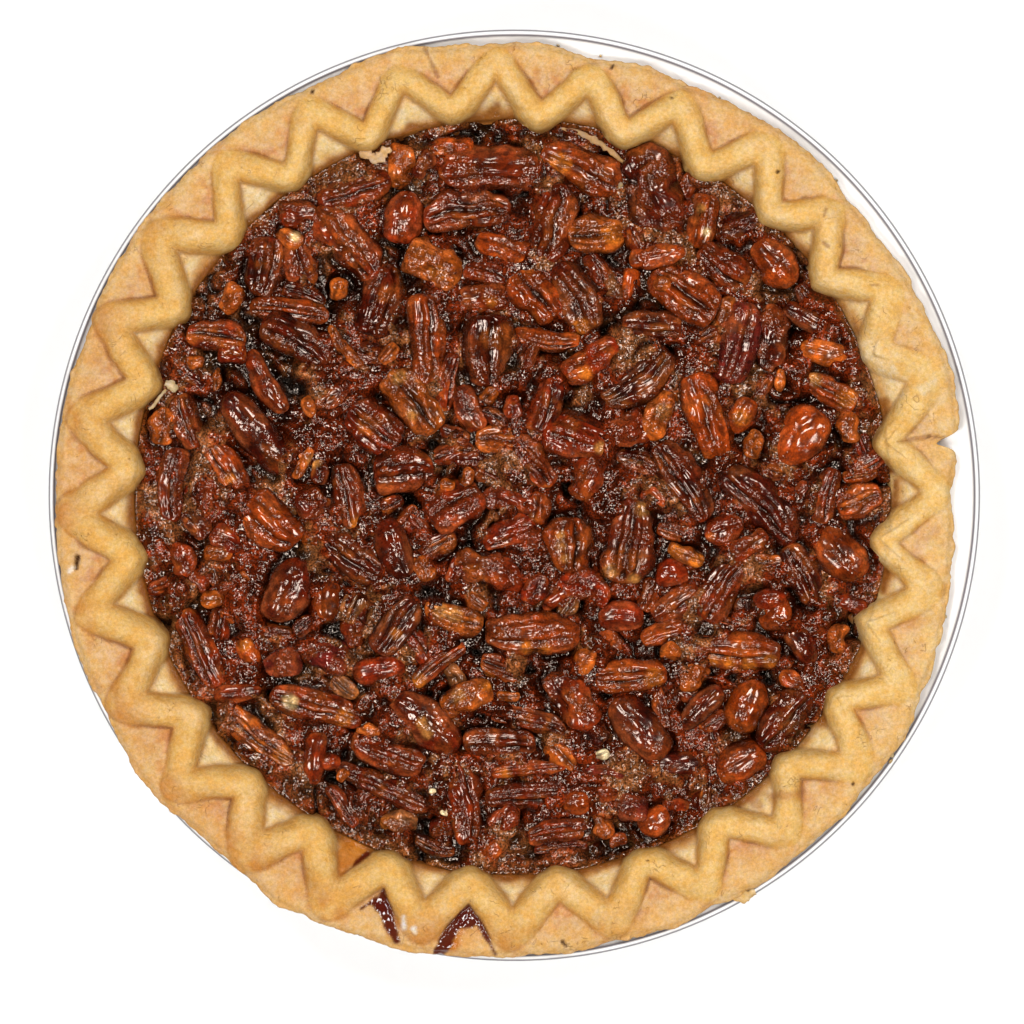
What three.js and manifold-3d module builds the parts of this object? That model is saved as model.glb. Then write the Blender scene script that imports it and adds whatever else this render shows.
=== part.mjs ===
// A pecan pie in its own foil tin: the tin with its rolled bead, the pastry case with its zigzag
// rope edge, and the baked filling with the pecans fused to it.
// Millimetres, +Z up. The origin is the centre of the underside of the tin's flat base.

import * as THREE from 'three';
import { mergeVertices } from 'three/addons/utils/BufferGeometryUtils.js';
import Module from 'manifold-3d';

const wasm = await Module();
wasm.setup();

// ---- Driving dimensions ----------------------------------------------------------------------

const CLEARANCE = 0.3; // between pieces that touch

// Foil tin
const TIN_RIM_RADIUS = 122.25; // outside of the rolled bead
const TIN_MOUTH_RADIUS = 111; // where the sloping wall meets the ledge
const TIN_BASE_RADIUS = 95; // inside, at the flat base
const TIN_LEDGE_Z = 32; // upper face of the flat ledge
const TIN_SHEET = 0.6; // sheet thickness
const BEAD_RADIUS = 1.1; // radius of the rolled bead's section
const BEAD_SIDES = 8;
const TIN_SEGMENTS = 72;

// Pastry case
const CRUST_CENTRE = [-2.05, -0.97]; // the rope edge sits off-centre in the tin
const WELL_CENTRE = [-0.4, -0.4]; // the round well that the filling lies in
const WELL_RADIUS = 99.3; // at the filling's edge
const WELL_TOE_RADIUS = 92; // at the floor
const WELL_EDGE_Z = 31; // top of the well's wall, just over the filling
const CRUST_FLOOR = 4; // thickness under the filling
const EDGE_ROUND = 0.7; // how far the edge's top is rounded back
const EDGE_DOUGH = 3.2; // height of the outer edge above the ledge
const PANEL_DOUGH = 4.8; // the sunk panels outside the rope, at their points
const SLOPE_DOUGH = 4.3; // top of the slopes inside the rope, above the ledge
const SLOPE_RUN = 6; // how far inside the well's edge the slopes end

// Zigzag rope, about CRUST_CENTRE
const ROPE_HALF_WIDTH = 3.9;
const ROPE_MEAN_RADIUS = 107;
const ROPE_REACH = 1.8; // half widths from the centreline that a ray needs to leave the rope
const ROW_GAP = 0.2; // between rows where the edge cuts them short
const ROPE_INNER_CREST_Z = 39;
const ROPE_OUTER_CREST_Z = 40.4;
// Its turns in order: angle in degrees, radius of its centreline, radius of the pastry's edge.
const INNER_TURNS = [
  [8.5, 100.3, 119], [21.5, 103.2, 120.4], [34.7, 100, 119], [47.1, 100.4, 120.3],
  [59.2, 99.8, 119.5], [71.9, 98.9, 119], [85, 98.7, 119.3], [97.8, 101, 119.5],
  [110.9, 100.3, 119.8], [123.7, 99.9, 120], [136.6, 99.3, 119.5], [149.9, 98.9, 119.1],
  [162.4, 98, 118], [175.5, 97.8, 118], [188.8, 98.3, 118.3], [201.9, 98.2, 118.9],
  [214.6, 98.7, 120.1], [227.5, 99.4, 118.7], [240, 99.3, 121.6], [252.4, 99.6, 121],
  [264.7, 99.3, 120.1], [277.8, 100.1, 120], [290.6, 100.1, 120.5], [303.2, 100.1, 121],
  [316.6, 100.3, 121.2], [329.1, 100.9, 121.8], [341.1, 99.7, 119.6], [354, 98, 117.4],
];
const OUTER_TURNS = [ // each follows the inner turn of the same place in the list
  [15.8, 116.2, 121], [28.8, 114.3, 119.5], [41.4, 114.3, 118.8], [53.5, 116, 120.3],
  [66.2, 114.3, 118], [78.7, 113.2, 117.3], [91.3, 115.9, 119.3], [104.3, 115.1, 121.5],
  [117.1, 115.3, 119.5], [129.8, 115.4, 120], [143, 115.7, 119.3], [155.9, 115.1, 118.7],
  [169, 114.1, 118.5], [181.8, 115.1, 118.2], [195.3, 113.9, 118.8], [208.5, 114.9, 118.6],
  [221.2, 115.1, 120.2], [233.9, 116.9, 119.4], [246.2, 117.4, 121.4], [258.6, 115.3, 120.6],
  [270.5, 114.9, 119.8], [284.1, 115.7, 119.2], [297.1, 115.7, 119.6], [310.3, 114.9, 120.4],
  [322.8, 117, 120.4], [334.9, 115.7, 120], [347.5, 114.5, 118.1], [361, 114.4, 116],
];
const SQUASHED_TURN = 1; // this inner turn was flattened: the rope is low there
const SQUASHED_HEIGHT = 0.55; // share of the rope's height that is left
const NOTCHED_TURN = 0; // the pastry's edge is split here
const NOTCH_RADIUS = 114; // how far in the split runs

// Filling
const FILLING_EDGE_Z = 30.4; // level of the syrup at the pastry
const FILLING_DOME = 3.8; // how far the middle stands above that
const FILLING_UNEVEN = 0.45; // bumps in the surface between the nuts
const FILLING_SEGMENTS = 42;
const FILLING_RINGS = [78, 50, 22]; // radii at which its surface is uneven

// Nuts that show: x, y, heading from +X in degrees, length, width.
const BACKS = [ // grooved outer side up
  [-6, 85.5, 0, 27, 13], [9.5, 71.5, 77, 22, 12.5], [18, 86, -25, 23, 11], [16, 52, -60, 20, 12],
  [8.5, 41, -8, 17, 6], [-7, 38, 90, 19, 14], [-23, 41, 92, 24, 11], [-35.2, 51.2, 75, 20, 13],
  [32.7, 30.5, 38, 22, 11], [-42, 80, 17, 20, 9], [-44, 66.5, -48, 24, 12], [-65.5, 60, 80, 16, 11],
  [-59, 48.5, -7, 21, 7], [-57, 40.5, -35, 20, 11], [-44.5, 38.5, -52, 14, 4.5], [49.5, 72, 80, 15, 9],
  [55, 60, -35, 16, 10], [36, 44.7, -5, 16, 8], [58.5, 40, 75, 22, 12], [-85.8, 19.3, -72, 15, 8],
  [-90, 3, 85, 20, 9], [-75.8, 7, -58, 17, 9], [-43.2, -0.4, -78, 18, 8.5], [-63.8, -7.4, -40, 17, 13],
  [-42.5, -16.3, -35, 18, 11], [-17.5, 29.6, 80, 16, 6], [8.3, 24, 72, 16, 10], [16, 15.3, -12, 17, 13],
  [-29, 6.3, 5, 16, 13], [14.3, -13, 92, 15, 12], [50.5, 20.7, -72, 23, 12], [44.5, 4, -57, 24, 11],
  [65.2, -2.3, -45, 26, 12], [81.8, 0, 75, 15, 7], [76.2, -20.4, -60, 17, 9], [54.5, -24.2, 58, 20, 10],
  [4.5, -36.3, -2, 25, 12], [39, -36, 20, 12, 6], [57.5, -41, -5, 25, 10], [30.5, -47.5, 3, 19, 9],
  [-31, -34.5, 55, 17, 10], [-82.4, -40, -65, 22, 9], [-52, -55.3, -14, 25, 9], [-33.5, -68, -20, 20, 9],
  [-34.5, -76.5, -24, 27, 7], [-45, -81.4, -56, 13, 4.5], [-13.6, -79.7, 100, 24, 10],
  [-21, -92, -20, 11, 4.5], [3.8, -71.8, 5, 20, 4.5], [4, -78.8, 4, 24, 8], [11.8, -88, 8, 17, 7],
  [71, -58.3, 50, 20, 10], [3.8, -58.8, -14, 21, 7], [-20, -44, 38, 17, 6], [-4, -65, 0, 19, 9],
];
const FACES = [ // curled inner side up
  [-12, 74.5, 3, 23, 11], [21.5, 68.5, 5, 15, 11], [5.5, 52.5, -50, 16, 11], [-78, 42, -8, 16, 9],
  [44.5, 53, -35, 20, 13], [-37, 18, -37, 16, 12], [-26.5, 24.5, -50, 20, 12], [-3.6, 14.4, -5, 13, 8],
  [4.3, 8.7, -50, 16, 10], [-15.3, -2.1, 30, 16, 13], [30, -12, 80, 23, 13], [83.1, 27.4, -30, 15, 8],
  [90, -1.7, 20, 12, 9], [-16, -32, -18, 16, 8], [-67.8, -63.5, -38, 25, 9], [-3.3, -45.4, -20, 12, 7],
];
const PLAIN = [ // smooth and rough pieces without a groove
  [-29, 73, 80, 14, 11], [-21, 60.5, -25, 16, 12], [-3.5, 65, -20, 14, 8], [-7.5, 52, 0, 14, 8],
  [20, 35.5, 35, 16, 8], [-56, 61, -70, 14, 9], [-65.3, 29.6, -60, 19, 7], [36, 80, -65, 23, 14],
  [37.5, 63, 12, 14, 6], [68.5, 61, -50, 15, 11], [67.1, 40.7, 80, 18, 9], [77, 46.5, -25, 14, 7],
  [81.5, 37.5, -8, 13, 7], [-67.7, 16.1, -50, 27, 11], [-54.9, 11, 69, 14, 5], [-59.4, -24.8, 62, 18, 12],
  [-49, -27, 85, 12, 8], [20.3, 5.7, 60, 14, 9], [28.2, 16.1, 20, 14, 10], [-6.8, -20, -12, 19, 11],
  [-31.4, -14, -70, 17, 10], [37.9, 21, 60, 13, 8], [59.7, 21, 60, 10, 8], [75, 15.5, 50, 17, 13],
  [85.3, -15.4, -50, 17, 12], [61, -13.4, 30, 12, 7], [28, -32, 0, 12, 9], [-23.1, -59.7, -42, 22, 12],
  [-52.3, -68.8, 82, 14, 7.5], [33, -61, -50, 20, 12], [48.8, -55.7, 45, 15, 7], [61, -55.3, 65, 15, 11],
  [59.2, -70, 30, 14, 11], [43.6, -71.2, 10, 15, 9], [68.4, -31.4, 0, 9, 9], [75.7, -39, -60, 12, 8],
  [15, -53.5, -50, 18, 11], [-12.3, -53, 28, 14, 9], [-35.5, -46, 10, 14, 8], [-49.7, -42, -15, 13, 9],
  [-61, -44, 15, 10, 8], [-72.5, -51.8, 5, 13, 6], [30, -81, 0, 10, 9], [36.8, -85.5, 30, 9, 8],
  [-88, -17, -50, 10, 8], [-75, -12, -35, 10, 7], [-30, 86, 85, 12, 8], [-52.7, -2, 0, 10, 9],
];
// Each kind's groove as a share of the nut's half thickness, and its sides and rings.
const NUT_KINDS = [
  { nuts: BACKS, groove: 0.2, sides: 8, rings: 4 },
  { nuts: FACES, groove: 0.4, sides: 8, rings: 4 },
  { nuts: PLAIN, groove: 0, sides: 6, rings: 3 },
];
const NUT_SINK = 0.2; // how far a nut's middle plane lies below the syrup
const NUT_LEAST_HEIGHT = 1.2; // the dome's height is this plus a share of the width
const NUT_HEIGHT_SHARE = 0.26;
const NUT_PITCH = 4; // most that a nut leans along its length, in degrees
const NUT_ROLL = 7; // most that it leans across it
const NUT_TIP_SINK = 1; // how far its ends lie below its middle plane
const NUT_ROOT = 3; // depth of its straight sides
const NUT_BLUNTNESS = 0.7; // under 1, the ends are blunter than an ellipse's

// ---- Helpers ---------------------------------------------------------------------------------

const radians = THREE.MathUtils.degToRad;
const lerp = THREE.MathUtils.lerp;
const smooth = (low, high, value) => THREE.MathUtils.smoothstep(value, low, high);

// The point at a radius and an angle from a centre.
function polar(radius, angle, [x, y] = [0, 0]) {
  return [x + radius * Math.cos(angle), y + radius * Math.sin(angle)];
}

// Repeatable numbers from 0 to 1 (Park and Miller's generator).
function randomSource(seed) {
  let state = seed;
  return () => {
    state = (state * 16807) % 2147483647;
    return state / 2147483647;
  };
}

// A closed turned form whose points are moved one by one: place(row, segment) gives [x, y, z].
// The first and last rows lie on the axis.
function turnedForm(rows, segments, place) {
  const outline = Array.from({ length: rows }, (_, row) => {
    const isOnAxis = row === 0 || row === rows - 1;
    return new THREE.Vector2(isOnAxis ? 0 : 1, row);
  });
  const geometry = new THREE.LatheGeometry(outline, segments);
  const position = geometry.attributes.position;
  for (let segment = 0; segment <= segments; segment += 1) {
    for (let row = 0; row < rows; row += 1) {
      position.setXYZ(segment * rows + row, ...place(row, segment % segments));
    }
  }
  return geometry;
}

// The solid bounded by a closed geometry.
function solidOf(geometry) {
  geometry.deleteAttribute('normal');
  geometry.deleteAttribute('uv');
  const merged = mergeVertices(geometry, 1e-4);
  const vertProperties = new Float32Array(merged.attributes.position.array);
  const triVerts = new Uint32Array(merged.index.array);
  return new wasm.Manifold(new wasm.Mesh({ numProp: 3, vertProperties, triVerts }));
}

function geometryOf(solid) {
  const { vertProperties, triVerts } = solid.getMesh();
  const geometry = new THREE.BufferGeometry();
  geometry.setAttribute('position', new THREE.BufferAttribute(vertProperties, 3));
  geometry.setIndex(new THREE.BufferAttribute(triVerts, 1));
  return geometry;
}

// ---- Foil tin --------------------------------------------------------------------------------

function tinProfile() {
  const beadRadius = TIN_RIM_RADIUS - BEAD_RADIUS;
  const beadZ = TIN_LEDGE_Z - BEAD_RADIUS / 2;
  const bead = Array.from({ length: BEAD_SIDES - 1 }, (_, index) => {
    const turn = radians(150 - (index * 300) / (BEAD_SIDES - 2));
    return [beadRadius + BEAD_RADIUS * Math.cos(turn), beadZ + BEAD_RADIUS * Math.sin(turn)];
  });
  return [
    [0, 0],
    [TIN_BASE_RADIUS + TIN_SHEET / 2, 0],
    [TIN_MOUTH_RADIUS + TIN_SHEET / 2, TIN_LEDGE_Z - TIN_SHEET],
    ...bead.reverse(),
    [TIN_MOUTH_RADIUS, TIN_LEDGE_Z],
    [TIN_BASE_RADIUS, TIN_SHEET],
    [0, TIN_SHEET],
  ];
}

function tinGeometry() {
  const profile = tinProfile();
  return turnedForm(profile.length, TIN_SEGMENTS, (row, segment) => {
    const [radius, z] = profile[row];
    return [...polar(radius, (segment / TIN_SEGMENTS) * Math.PI * 2), z];
  });
}

// ---- Pastry case -----------------------------------------------------------------------------

const TURNS = INNER_TURNS.length;
// Where the points lie between one inner turn and the next, closer together at the turns.
const STEPS = [0, 0.12, 0.32, 0.5, 0.68, 0.88];
const CRUST_SEGMENTS = TURNS * STEPS.length;

// A turn of the rope by its number, on any lap.
function turnAt(list, index) {
  const lap = Math.floor(index / TURNS);
  const [angle, radius, edge] = list[index - lap * TURNS];
  return { angle: radians(angle + lap * 360), radius, edge };
}
const innerTurn = (index) => turnAt(INNER_TURNS, index);
const outerTurn = (index) => turnAt(OUTER_TURNS, index);

function distanceToLine([x, y], [ax, ay], [bx, by]) {
  const along = ((x - ax) * (bx - ax) + (y - ay) * (by - ay)) / ((bx - ax) ** 2 + (by - ay) ** 2);
  const share = THREE.MathUtils.clamp(along, 0, 1);
  return Math.hypot(x - lerp(ax, bx, share), y - lerp(ay, by, share));
}

// Distance from a point to the rope's centreline, near the given turn; both about CRUST_CENTRE.
function distanceToRope(point, index) {
  const corner = ({ radius, angle }) => polar(radius, angle);
  let nearest = Infinity;
  for (const near of [index - 1, index, index + 1]) {
    const peak = corner(outerTurn(near));
    nearest = Math.min(nearest, distanceToLine(point, corner(innerTurn(near)), peak));
    nearest = Math.min(nearest, distanceToLine(point, peak, corner(innerTurn(near + 1))));
  }
  return nearest;
}

// The rope at one segment: its angle, the share of the way out to the outer turns, and the radii
// of its centreline and of the pastry's edge.
function ropeAt(segment) {
  const index = Math.floor(segment / STEPS.length);
  const step = STEPS[segment % STEPS.length];
  const outward = step <= 0.5 ? step * 2 : 2 - step * 2;
  const inner = innerTurn(step <= 0.5 ? index : index + 1);
  const outer = outerTurn(index);
  return {
    index,
    outward,
    angle: lerp(inner.angle, outer.angle, outward),
    centreline: lerp(inner.radius, outer.radius, outward),
    edge: index + step === NOTCHED_TURN ? NOTCH_RADIUS : lerp(inner.edge, outer.edge, outward),
    height: Math.abs(index + step - SQUASHED_TURN) < 0.5 ? SQUASHED_HEIGHT : 1,
  };
}

const HALVINGS = 30;

// Radius at which a ray lies `distance` from the rope's centreline: inside it for side -1,
// outside it for side 1. Found by halving.
function ropeOffsetRadius({ index, angle, centreline }, distance, side) {
  let near = centreline;
  let far = centreline + side * ROPE_REACH * distance;
  for (let halving = 0; halving < HALVINGS; halving += 1) {
    const middle = (near + far) / 2;
    if (distanceToRope(polar(middle, angle), index) < distance) {
      near = middle;
    } else {
      far = middle;
    }
  }
  return near;
}

// Distance from CRUST_CENTRE, at an angle, to the well's round edge.
function wellRadius(angle, radius) {
  const [offX, offY] = [WELL_CENTRE[0] - CRUST_CENTRE[0], WELL_CENTRE[1] - CRUST_CENTRE[1]];
  const along = offX * Math.cos(angle) + offY * Math.sin(angle);
  return along + Math.sqrt(radius ** 2 - offX ** 2 - offY ** 2 + along ** 2);
}

// Rows across the rope: distance from its centreline, side, and share of its height.
const ROPE_ROWS = [
  { distance: ROPE_HALF_WIDTH, side: -1, rise: 0 },
  { distance: 0.8 * ROPE_HALF_WIDTH, side: -1, rise: 0.7 },
  { distance: 0.4 * ROPE_HALF_WIDTH, side: -1, rise: 0.98 },
  { distance: 0.4 * ROPE_HALF_WIDTH, side: 1, rise: 0.98 },
  { distance: 0.8 * ROPE_HALF_WIDTH, side: 1, rise: 0.7 },
  { distance: ROPE_HALF_WIDTH, side: 1, rise: 0 },
];
// The rows at one segment, from the filling's edge over the rope to the outer edge: [x, y, z].
function crustRim(segment) {
  const rope = ropeAt(segment);
  const crest = lerp(ROPE_INNER_CREST_Z, ROPE_OUTER_CREST_Z, rope.outward);
  const well = wellRadius(rope.angle, WELL_RADIUS);
  const rim = [[well, WELL_EDGE_Z]];
  for (const [row, { distance, side, rise }] of ROPE_ROWS.entries()) {
    const furthest = rope.edge - EDGE_ROUND - ROW_GAP * (ROPE_ROWS.length - row);
    const radius = Math.min(ropeOffsetRadius(rope, distance, side), furthest);
    const slope = SLOPE_DOUGH * smooth(well - SLOPE_RUN, ROPE_MEAN_RADIUS, radius);
    const panel = lerp(PANEL_DOUGH, EDGE_DOUGH, smooth(ROPE_MEAN_RADIUS, rope.edge, radius));
    const foot = TIN_LEDGE_Z + (side < 0 ? slope : panel);
    rim.push([radius, foot + (crest - foot) * rise * rope.height]);
  }
  rim.push([rope.edge - EDGE_ROUND, TIN_LEDGE_Z + EDGE_DOUGH]);
  return rim.map(([radius, z]) => [...polar(radius, rope.angle, CRUST_CENTRE), z]);
}

// The underside lies in the tin, so it is turned about the tin's own axis.
function crustUnderside([x, y]) {
  const angle = Math.atan2(y, x);
  const edge = Math.min(Math.hypot(x, y) + EDGE_ROUND, TIN_RIM_RADIUS - 2 * BEAD_RADIUS - CLEARANCE);
  return [
    [TIN_BASE_RADIUS - 2 * CLEARANCE, TIN_SHEET + CLEARANCE],
    [TIN_MOUTH_RADIUS - 2 * CLEARANCE, TIN_LEDGE_Z + CLEARANCE],
    [edge, TIN_LEDGE_Z + CLEARANCE],
  ].map(([radius, z]) => [...polar(radius, angle), z]);
}

function crustGeometry() {
  const floorZ = TIN_SHEET + CLEARANCE + CRUST_FLOOR;
  const sections = Array.from({ length: CRUST_SEGMENTS }, (_, segment) => {
    const rim = crustRim(segment);
    const { angle } = ropeAt(segment);
    const toe = polar(wellRadius(angle, WELL_TOE_RADIUS), angle, CRUST_CENTRE);
    return [
      [0, 0, TIN_SHEET + CLEARANCE],
      ...crustUnderside(rim.at(-1)),
      ...rim.reverse(),
      [...toe, floorZ],
      [...WELL_CENTRE, floorZ],
    ];
  });
  return turnedForm(sections[0].length, CRUST_SEGMENTS, (row, segment) => sections[segment][row]);
}

// ---- Filling and nuts ------------------------------------------------------------------------

const syrupLevel = (radius) => FILLING_EDGE_Z + FILLING_DOME * (1 - smooth(0, WELL_RADIUS, radius));

// The baked filling without its nuts.
function fillingCore() {
  const random = randomSource(41);
  const floorZ = TIN_SHEET + 2 * CLEARANCE + CRUST_FLOOR;
  const edge = WELL_RADIUS - CLEARANCE - 0.1;
  const profile = [
    [0, floorZ, 0],
    [WELL_TOE_RADIUS - CLEARANCE, floorZ, 0],
    [edge, syrupLevel(edge), 0],
    ...FILLING_RINGS.map((radius) => [radius, syrupLevel(radius), FILLING_UNEVEN]),
    [0, syrupLevel(0), 0],
  ];
  const points = Array.from({ length: FILLING_SEGMENTS }, (_, segment) =>
    profile.map(([radius, z, uneven]) => {
      const angle = (segment / FILLING_SEGMENTS) * Math.PI * 2;
      return [...polar(radius, angle, WELL_CENTRE), z + (random() * 2 - 1) * uneven];
    }),
  );
  return solidOf(turnedForm(profile.length, FILLING_SEGMENTS, (row, segment) => points[segment][row]));
}

// One nut: a long faceted dome with blunt ends and, on top, the groove of its kind. Its sides go
// straight down into the syrup, and it leans by shearing, so that no pocket forms beneath it.
function nutSolid([x, y, heading, length, width], { groove, sides, rings }, random) {
  const geometry = new THREE.SphereGeometry(1, sides, rings);
  const position = geometry.attributes.position;
  const halfHeight = NUT_LEAST_HEIGHT + NUT_HEIGHT_SHARE * width;
  const pitch = Math.tan(radians((random() * 2 - 1) * NUT_PITCH));
  const roll = Math.tan(radians((random() * 2 - 1) * NUT_ROLL));
  for (let index = 0; index < position.count; index += 1) {
    const along = position.getY(index);
    const sine = Math.sqrt(Math.max(0, 1 - along * along));
    const isTip = sine < 1e-3;
    const girth = isTip ? 0 : sine ** NUT_BLUNTNESS;
    const across = isTip ? 0 : -position.getX(index) / sine;
    const up = isTip ? 0 : position.getZ(index) / sine;
    const isCrown = Math.abs(across) < 1e-3 && up > 0;
    const isRoot = up < -1e-3;
    const localX = (along * length) / 2;
    const localY = ((isRoot ? Math.sign(Math.round(across * 9)) : across) * girth * width) / 2;
    const dome = isTip ? -NUT_TIP_SINK : up * girth * halfHeight * (isCrown ? 1 - groove : 1);
    position.setXYZ(index, localX, localY, (isRoot ? -NUT_ROOT : dome) + pitch * localX + roll * localY);
  }
  const level = syrupLevel(Math.hypot(x - WELL_CENTRE[0], y - WELL_CENTRE[1]));
  geometry.rotateZ(radians(heading));
  geometry.translate(x, y, level - NUT_SINK);
  return solidOf(geometry);
}

const TIP_SIDES = 12;

// An upright round block about a point, through the height of the nuts.
function post(radius, sides, [x, y]) {
  const geometry = new THREE.CylinderGeometry(radius, radius, TIN_LEDGE_Z, sides);
  geometry.rotateX(Math.PI / 2);
  geometry.translate(x, y, TIN_LEDGE_Z);
  return solidOf(geometry);
}

// The nuts are trimmed clear of the well's edge and of the rope's inner turns.
function trimmed(nuts) {
  let clear = nuts.intersect(post(WELL_RADIUS - 3 * CLEARANCE, FILLING_SEGMENTS, WELL_CENTRE));
  for (const [angle, radius] of INNER_TURNS) {
    const tip = polar(radius, radians(angle), CRUST_CENTRE);
    clear = clear.subtract(post(ROPE_HALF_WIDTH + 2 * CLEARANCE, TIP_SIDES, tip));
  }
  return clear;
}

function fillingGeometry() {
  const random = randomSource(17);
  let nuts = null;
  for (const kind of NUT_KINDS) {
    for (const nut of kind.nuts) {
      const solid = nutSolid(nut, kind, random);
      nuts = nuts ? nuts.add(solid) : solid;
    }
  }
  return geometryOf(fillingCore().add(trimmed(nuts)));
}

// ---- The pie ---------------------------------------------------------------------------------

const foil = new THREE.MeshStandardMaterial({ color: 0xd9dadc, roughness: 0.28, metalness: 1 });
const pastry = new THREE.MeshStandardMaterial({ color: 0xdfae70, roughness: 0.7, metalness: 0 });
const candied = new THREE.MeshStandardMaterial({ color: 0x5a2410, roughness: 0.25, metalness: 0 });

function piece(name, geometry, material) {
  const mesh = new THREE.Mesh(geometry, material);
  mesh.name = name;
  return mesh;
}

const pie = new THREE.Group();
pie.add(piece('pie_tin', tinGeometry(), foil));
pie.add(piece('pie_crust', crustGeometry(), pastry));
pie.add(piece('pecan_filling', fillingGeometry(), candied));

export default pie;
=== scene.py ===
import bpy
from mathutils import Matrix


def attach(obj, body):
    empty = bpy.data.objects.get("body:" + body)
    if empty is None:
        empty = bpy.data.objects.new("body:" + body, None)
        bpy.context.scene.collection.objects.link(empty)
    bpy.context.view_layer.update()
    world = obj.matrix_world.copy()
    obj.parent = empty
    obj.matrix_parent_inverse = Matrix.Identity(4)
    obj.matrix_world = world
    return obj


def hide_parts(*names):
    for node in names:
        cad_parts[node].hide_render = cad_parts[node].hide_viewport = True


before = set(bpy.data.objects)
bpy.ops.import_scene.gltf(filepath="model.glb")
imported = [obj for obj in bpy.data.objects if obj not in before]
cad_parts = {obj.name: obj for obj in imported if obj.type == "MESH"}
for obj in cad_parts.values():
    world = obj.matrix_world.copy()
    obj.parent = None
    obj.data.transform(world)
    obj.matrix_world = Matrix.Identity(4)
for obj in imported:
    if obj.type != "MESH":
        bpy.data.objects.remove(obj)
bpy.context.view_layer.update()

from types import SimpleNamespace

import bpy
import numpy as np
from mathutils import Vector

# A pecan pie in its own foil tin. Shapes are worked out in millimetres and stored in metres.
MM = 0.001
LAMP_LEVEL = 1.45  # how bright a white sheet looks under the lamps

# ---- Sizes ----

CLEARANCE = 0.3  # between nodes
TIN_RIM_RADIUS = 122.25
TIN_MOUTH_RADIUS = 111.0
TIN_BASE_RADIUS = 95.0
TIN_LEDGE_Z = 32.0
TIN_SHEET = 0.6
BEAD_RADIUS = 1.1
TIN_COLUMNS = 360
LEDGE_SHINE, WALL_SHINE = 0.12, 0.8  # how metallic the foil looks
# Dark lines painted on the rim's top, as the shade in the rolled bead's inner crease and the dark
# surroundings its sides reflect: radius, half width, strength.
RIM_SHADE_LINES = [(120.75, 0.4, 1.0), (122.0, 0.26, 0.95)]

CRUST_CENTRE = np.array([-2.05, -0.97])
WELL_CENTRE = np.array([-0.4, -0.4])
WELL_RADIUS = 99.3
WELL_TOE_RADIUS = 92.0
WELL_LIP_Z = 28.6
CRUST_FLOOR_Z = 4.9
ROPE_HALF_WIDTH = 4.2
BROWNED_ANGLE = 210
FLAKY_ANGLE, FLAKY_SPREAD = -5, 32
SQUASHED_ANGLE, SQUASHED_SPREAD = 21.5, 4.2
NARROW_ANGLE = 95
NOTCH_ANGLE = 7.4
CORNER_CUT = 0.16  # share of each side of the zigzag that its corners round off
SEAM_ANGLE = 0.95  # where the crust's first column is
CREST_INNER_Z = 38.9
CREST_OUTER_Z = 40.0
CRUST_COLUMNS = 1512
CRUST_ROWS = 58
CRUST_BASE_Z = 1.2
NOTCH_DEPTH, NOTCH_SPREAD = 5.4, 0.62
FLAKE_THICKNESS = 0.35

FILLING_EDGE_Z = 30.4
FILLING_DOME = 3.8
FILLING_CELLS = 312
SYRUP_GAP = 0.15  # to the pastry, at its top
PIT_DEPTH = 3.2
BASE_SHARE = 0.925  # size of the filling's flat base beside its top

# Turns of the rope about the crust's centre: angle in degrees, radius of the centreline and of
# the pastry's edge. Each outer turn follows the inner turn of the same place in the list.
INNER_TURNS = [
    (8.5, 100.3, 119.5), (21.5, 103.2, 120.6), (34.7, 100, 119), (47.1, 100.4, 120.3), (59.2, 99.8, 119.5),
    (71.9, 98.9, 119), (85, 98.7, 119.3), (97.8, 101, 119.3), (110.9, 100.3, 119.8), (123.7, 99.9, 120),
    (136.65, 99.3, 119.5), (149.9, 98.9, 119.1), (162.4, 98, 118), (175.5, 97.8, 118), (188.8, 98.3, 118.3),
    (201.9, 98.2, 118.9), (214.6, 98.7, 120.1), (227.5, 99.4, 118.7), (240, 99.3, 121.6),
    (252.4, 99.6, 121), (264.7, 99.3, 120.1), (277.8, 100.1, 120), (290.65, 100.1, 120.5),
    (303.15, 100.1, 121), (316.6, 100.3, 121.2), (329.1, 100.9, 121.9), (341.1, 99.7, 119.6),
    (353.95, 98, 117.4),
]
OUTER_TURNS = [
    (15.8, 116.2, 121), (28.8, 114.3, 119.8), (41.4, 114.3, 118.8), (53.5, 116, 120.3), (66.2, 114.3, 118),
    (78.7, 113.2, 117.3), (91.3, 115.9, 119.3), (104.3, 115.1, 121.5), (117.1, 115.3, 119.5),
    (129.8, 115.4, 120), (143, 115.7, 119.3), (155.9, 115.1, 118.7), (169, 114.1, 118.5),
    (181.8, 115.1, 118.2), (195.3, 113.9, 118.8), (208.5, 114.9, 118.6), (221.15, 115.1, 120.2),
    (233.85, 116.9, 119.4), (246.15, 117.4, 121.4), (258.6, 115.3, 120.6), (270.5, 114.9, 119.8),
    (284.15, 115.7, 118.8), (297.1, 115.7, 119.5), (310.3, 114.9, 120.3), (322.8, 117, 120.3),
    (334.85, 115.7, 119.9), (347.5, 114.5, 118.1), (360.95, 114.4, 116.4),
]

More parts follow.
